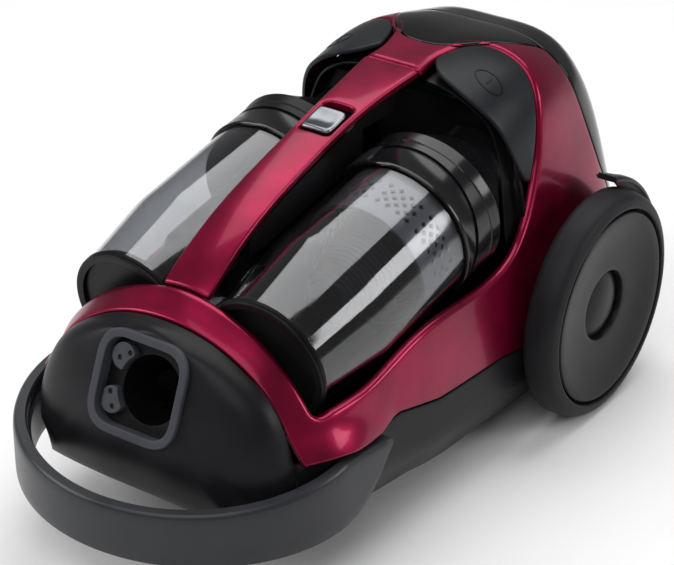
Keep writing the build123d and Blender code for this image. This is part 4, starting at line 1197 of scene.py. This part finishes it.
class VacuumCovers(bpy.types.PropertyGroup):
    """Sizes and colours of the painted and moulded covers."""
    lacquer: bpy.props.FloatVectorProperty(
        name="Lacquer", description="Deep tone of the pearl lacquer", subtype="COLOR_GAMMA", size=3,
        default=(0x72 / 255, 0x06 / 255, 0x2A / 255), min=0, max=1)
    edge: bpy.props.FloatProperty(
        name="Edge radius", description="Radius of the rolled edges of the frame", default=0.0015, min=0.0005,
        max=0.0025, unit="LENGTH", subtype="DISTANCE")


class VacuumBin(bpy.types.PropertyGroup):
    """Details of the dust bin."""
    ribs: bpy.props.IntProperty(name="Cone ribs", description="Ribs round the inner cone", default=13, min=3, max=30)
    hole: bpy.props.FloatProperty(
        name="Hole width", description="Width of a square hole in the sleeve", default=0.0031, min=0.001, max=0.0045,
        unit="LENGTH", subtype="DISTANCE")
    patches: bpy.props.IntProperty(name="Hole patches", description="Diamond patches round the sleeve", default=9,
                                   min=3, max=10)


class VacuumStage(bpy.types.PropertyGroup):
    """Studio set-up."""
    lens: bpy.props.FloatProperty(name="Lens", description="Focal length of the camera", default=126.0, min=20,
                                  max=300, unit="CAMERA")
    key: bpy.props.FloatProperty(name="Key light", description="Strength of the lamps", default=1.0, min=0, max=10)
    fill: bpy.props.FloatProperty(name="Fill light", description="Strength of the pale world", default=0.22, min=0,
                                  max=5)


class VACUUM_OT_materials(bpy.types.Operator):
    """Make every finish and give it to the CAD nodes that stay in view"""
    bl_idname, bl_label = "vacuum.materials", "Materials"

    def execute(self, context):
        make_materials()
        finish_nodes()
        return {"FINISHED"}


class VACUUM_OT_covers(bpy.types.Operator):
    """Build the frame, rear cover, top panel and base"""
    bl_idname, bl_label = "vacuum.covers", "Body covers"

    def execute(self, context):
        make_frame_cover()
        make_rear_cover()
        make_top_panel()
        make_base()
        return {"FINISHED"}


class VACUUM_OT_nose(bpy.types.Operator):
    """Build the nose, the inlet and the bow handle"""
    bl_idname, bl_label = "vacuum.nose", "Nose and inlet"

    def execute(self, context):
        make_nose()
        make_inlet()
        make_handle()
        return {"FINISHED"}


class VACUUM_OT_controls(bpy.types.Operator):
    """Build the pedals, the latch button, the black lining of painted shade under them and the clips"""
    bl_idname, bl_label = "vacuum.controls", "Pedals and button"

    def execute(self, context):
        make_pedal()
        make_button()
        make_shade_lining_and_clips()
        return {"FINISHED"}


class VACUUM_OT_bin(bpy.types.Operator):
    """Build the dust bin: cups, cyclones, sleeve and carry handle"""
    bl_idname, bl_label = "vacuum.dust_bin", "Dust bin"

    def execute(self, context):
        make_spine()
        make_cups()
        make_cyclones()
        make_sleeve()
        return {"FINISHED"}


class VACUUM_OT_rear(bpy.types.Operator):
    """Build the exhaust cover and the filter housings"""
    bl_idname, bl_label = "vacuum.rear", "Exhaust and housings"

    def execute(self, context):
        make_exhaust()
        make_housings()
        return {"FINISHED"}


class VACUUM_OT_wheels(bpy.types.Operator):
    """Build the rear wheels, their guards and the caster"""
    bl_idname, bl_label = "vacuum.wheels", "Wheels"

    def execute(self, context):
        make_wheels()
        make_guards()
        make_caster()
        return {"FINISHED"}


class VACUUM_OT_stage(bpy.types.Operator):
    """Set the camera, the floor and the lights"""
    bl_idname, bl_label = "vacuum.stage", "Stage"

    def execute(self, context):
        make_stage(context.scene.vacuum_stage)
        return {"FINISHED"}


OPERATORS = (VACUUM_OT_materials, VACUUM_OT_covers, VACUUM_OT_nose, VACUUM_OT_controls, VACUUM_OT_bin,
             VACUUM_OT_rear, VACUUM_OT_wheels, VACUUM_OT_stage)


class VACUUM_PT_panel(bpy.types.Panel):
    """Lists the steps that build the cleaner"""
    bl_idname, bl_label = "VACUUM_PT_panel", "Canister Vacuum"
    bl_space_type, bl_region_type, bl_category = "VIEW_3D", "UI", "Vacuum"

    def draw(self, context):
        for group in ("vacuum_covers", "vacuum_bin", "vacuum_stage"):
            box, props = self.layout.box(), getattr(context.scene, group)
            for name in props.__annotations__:
                box.prop(props, name)
        for operator in OPERATORS:
            self.layout.operator(operator.bl_idname)


GROUPS = (VacuumCovers, VacuumBin, VacuumStage)


def register():
    for cls in GROUPS + OPERATORS + (VACUUM_PT_panel,):
        bpy.utils.register_class(cls)
    for name, cls in zip(("vacuum_covers", "vacuum_bin", "vacuum_stage"), GROUPS):
        setattr(bpy.types.Scene, name, bpy.props.PointerProperty(type=cls))


def unregister():
    for name in ("vacuum_covers", "vacuum_bin", "vacuum_stage"):
        delattr(bpy.types.Scene, name)
    for cls in reversed(GROUPS + OPERATORS + (VACUUM_PT_panel,)):
        bpy.utils.unregister_class(cls)


def main():
    """Build the cleaner and its stage."""
    register()
    bpy.ops.vacuum.materials()
    bpy.ops.vacuum.covers()
    bpy.ops.vacuum.nose()
    bpy.ops.vacuum.controls()
    bpy.ops.vacuum.dust_bin()
    bpy.ops.vacuum.rear()
    bpy.ops.vacuum.wheels()
    bpy.ops.vacuum.stage()


if __name__ == "__main__":
    main()
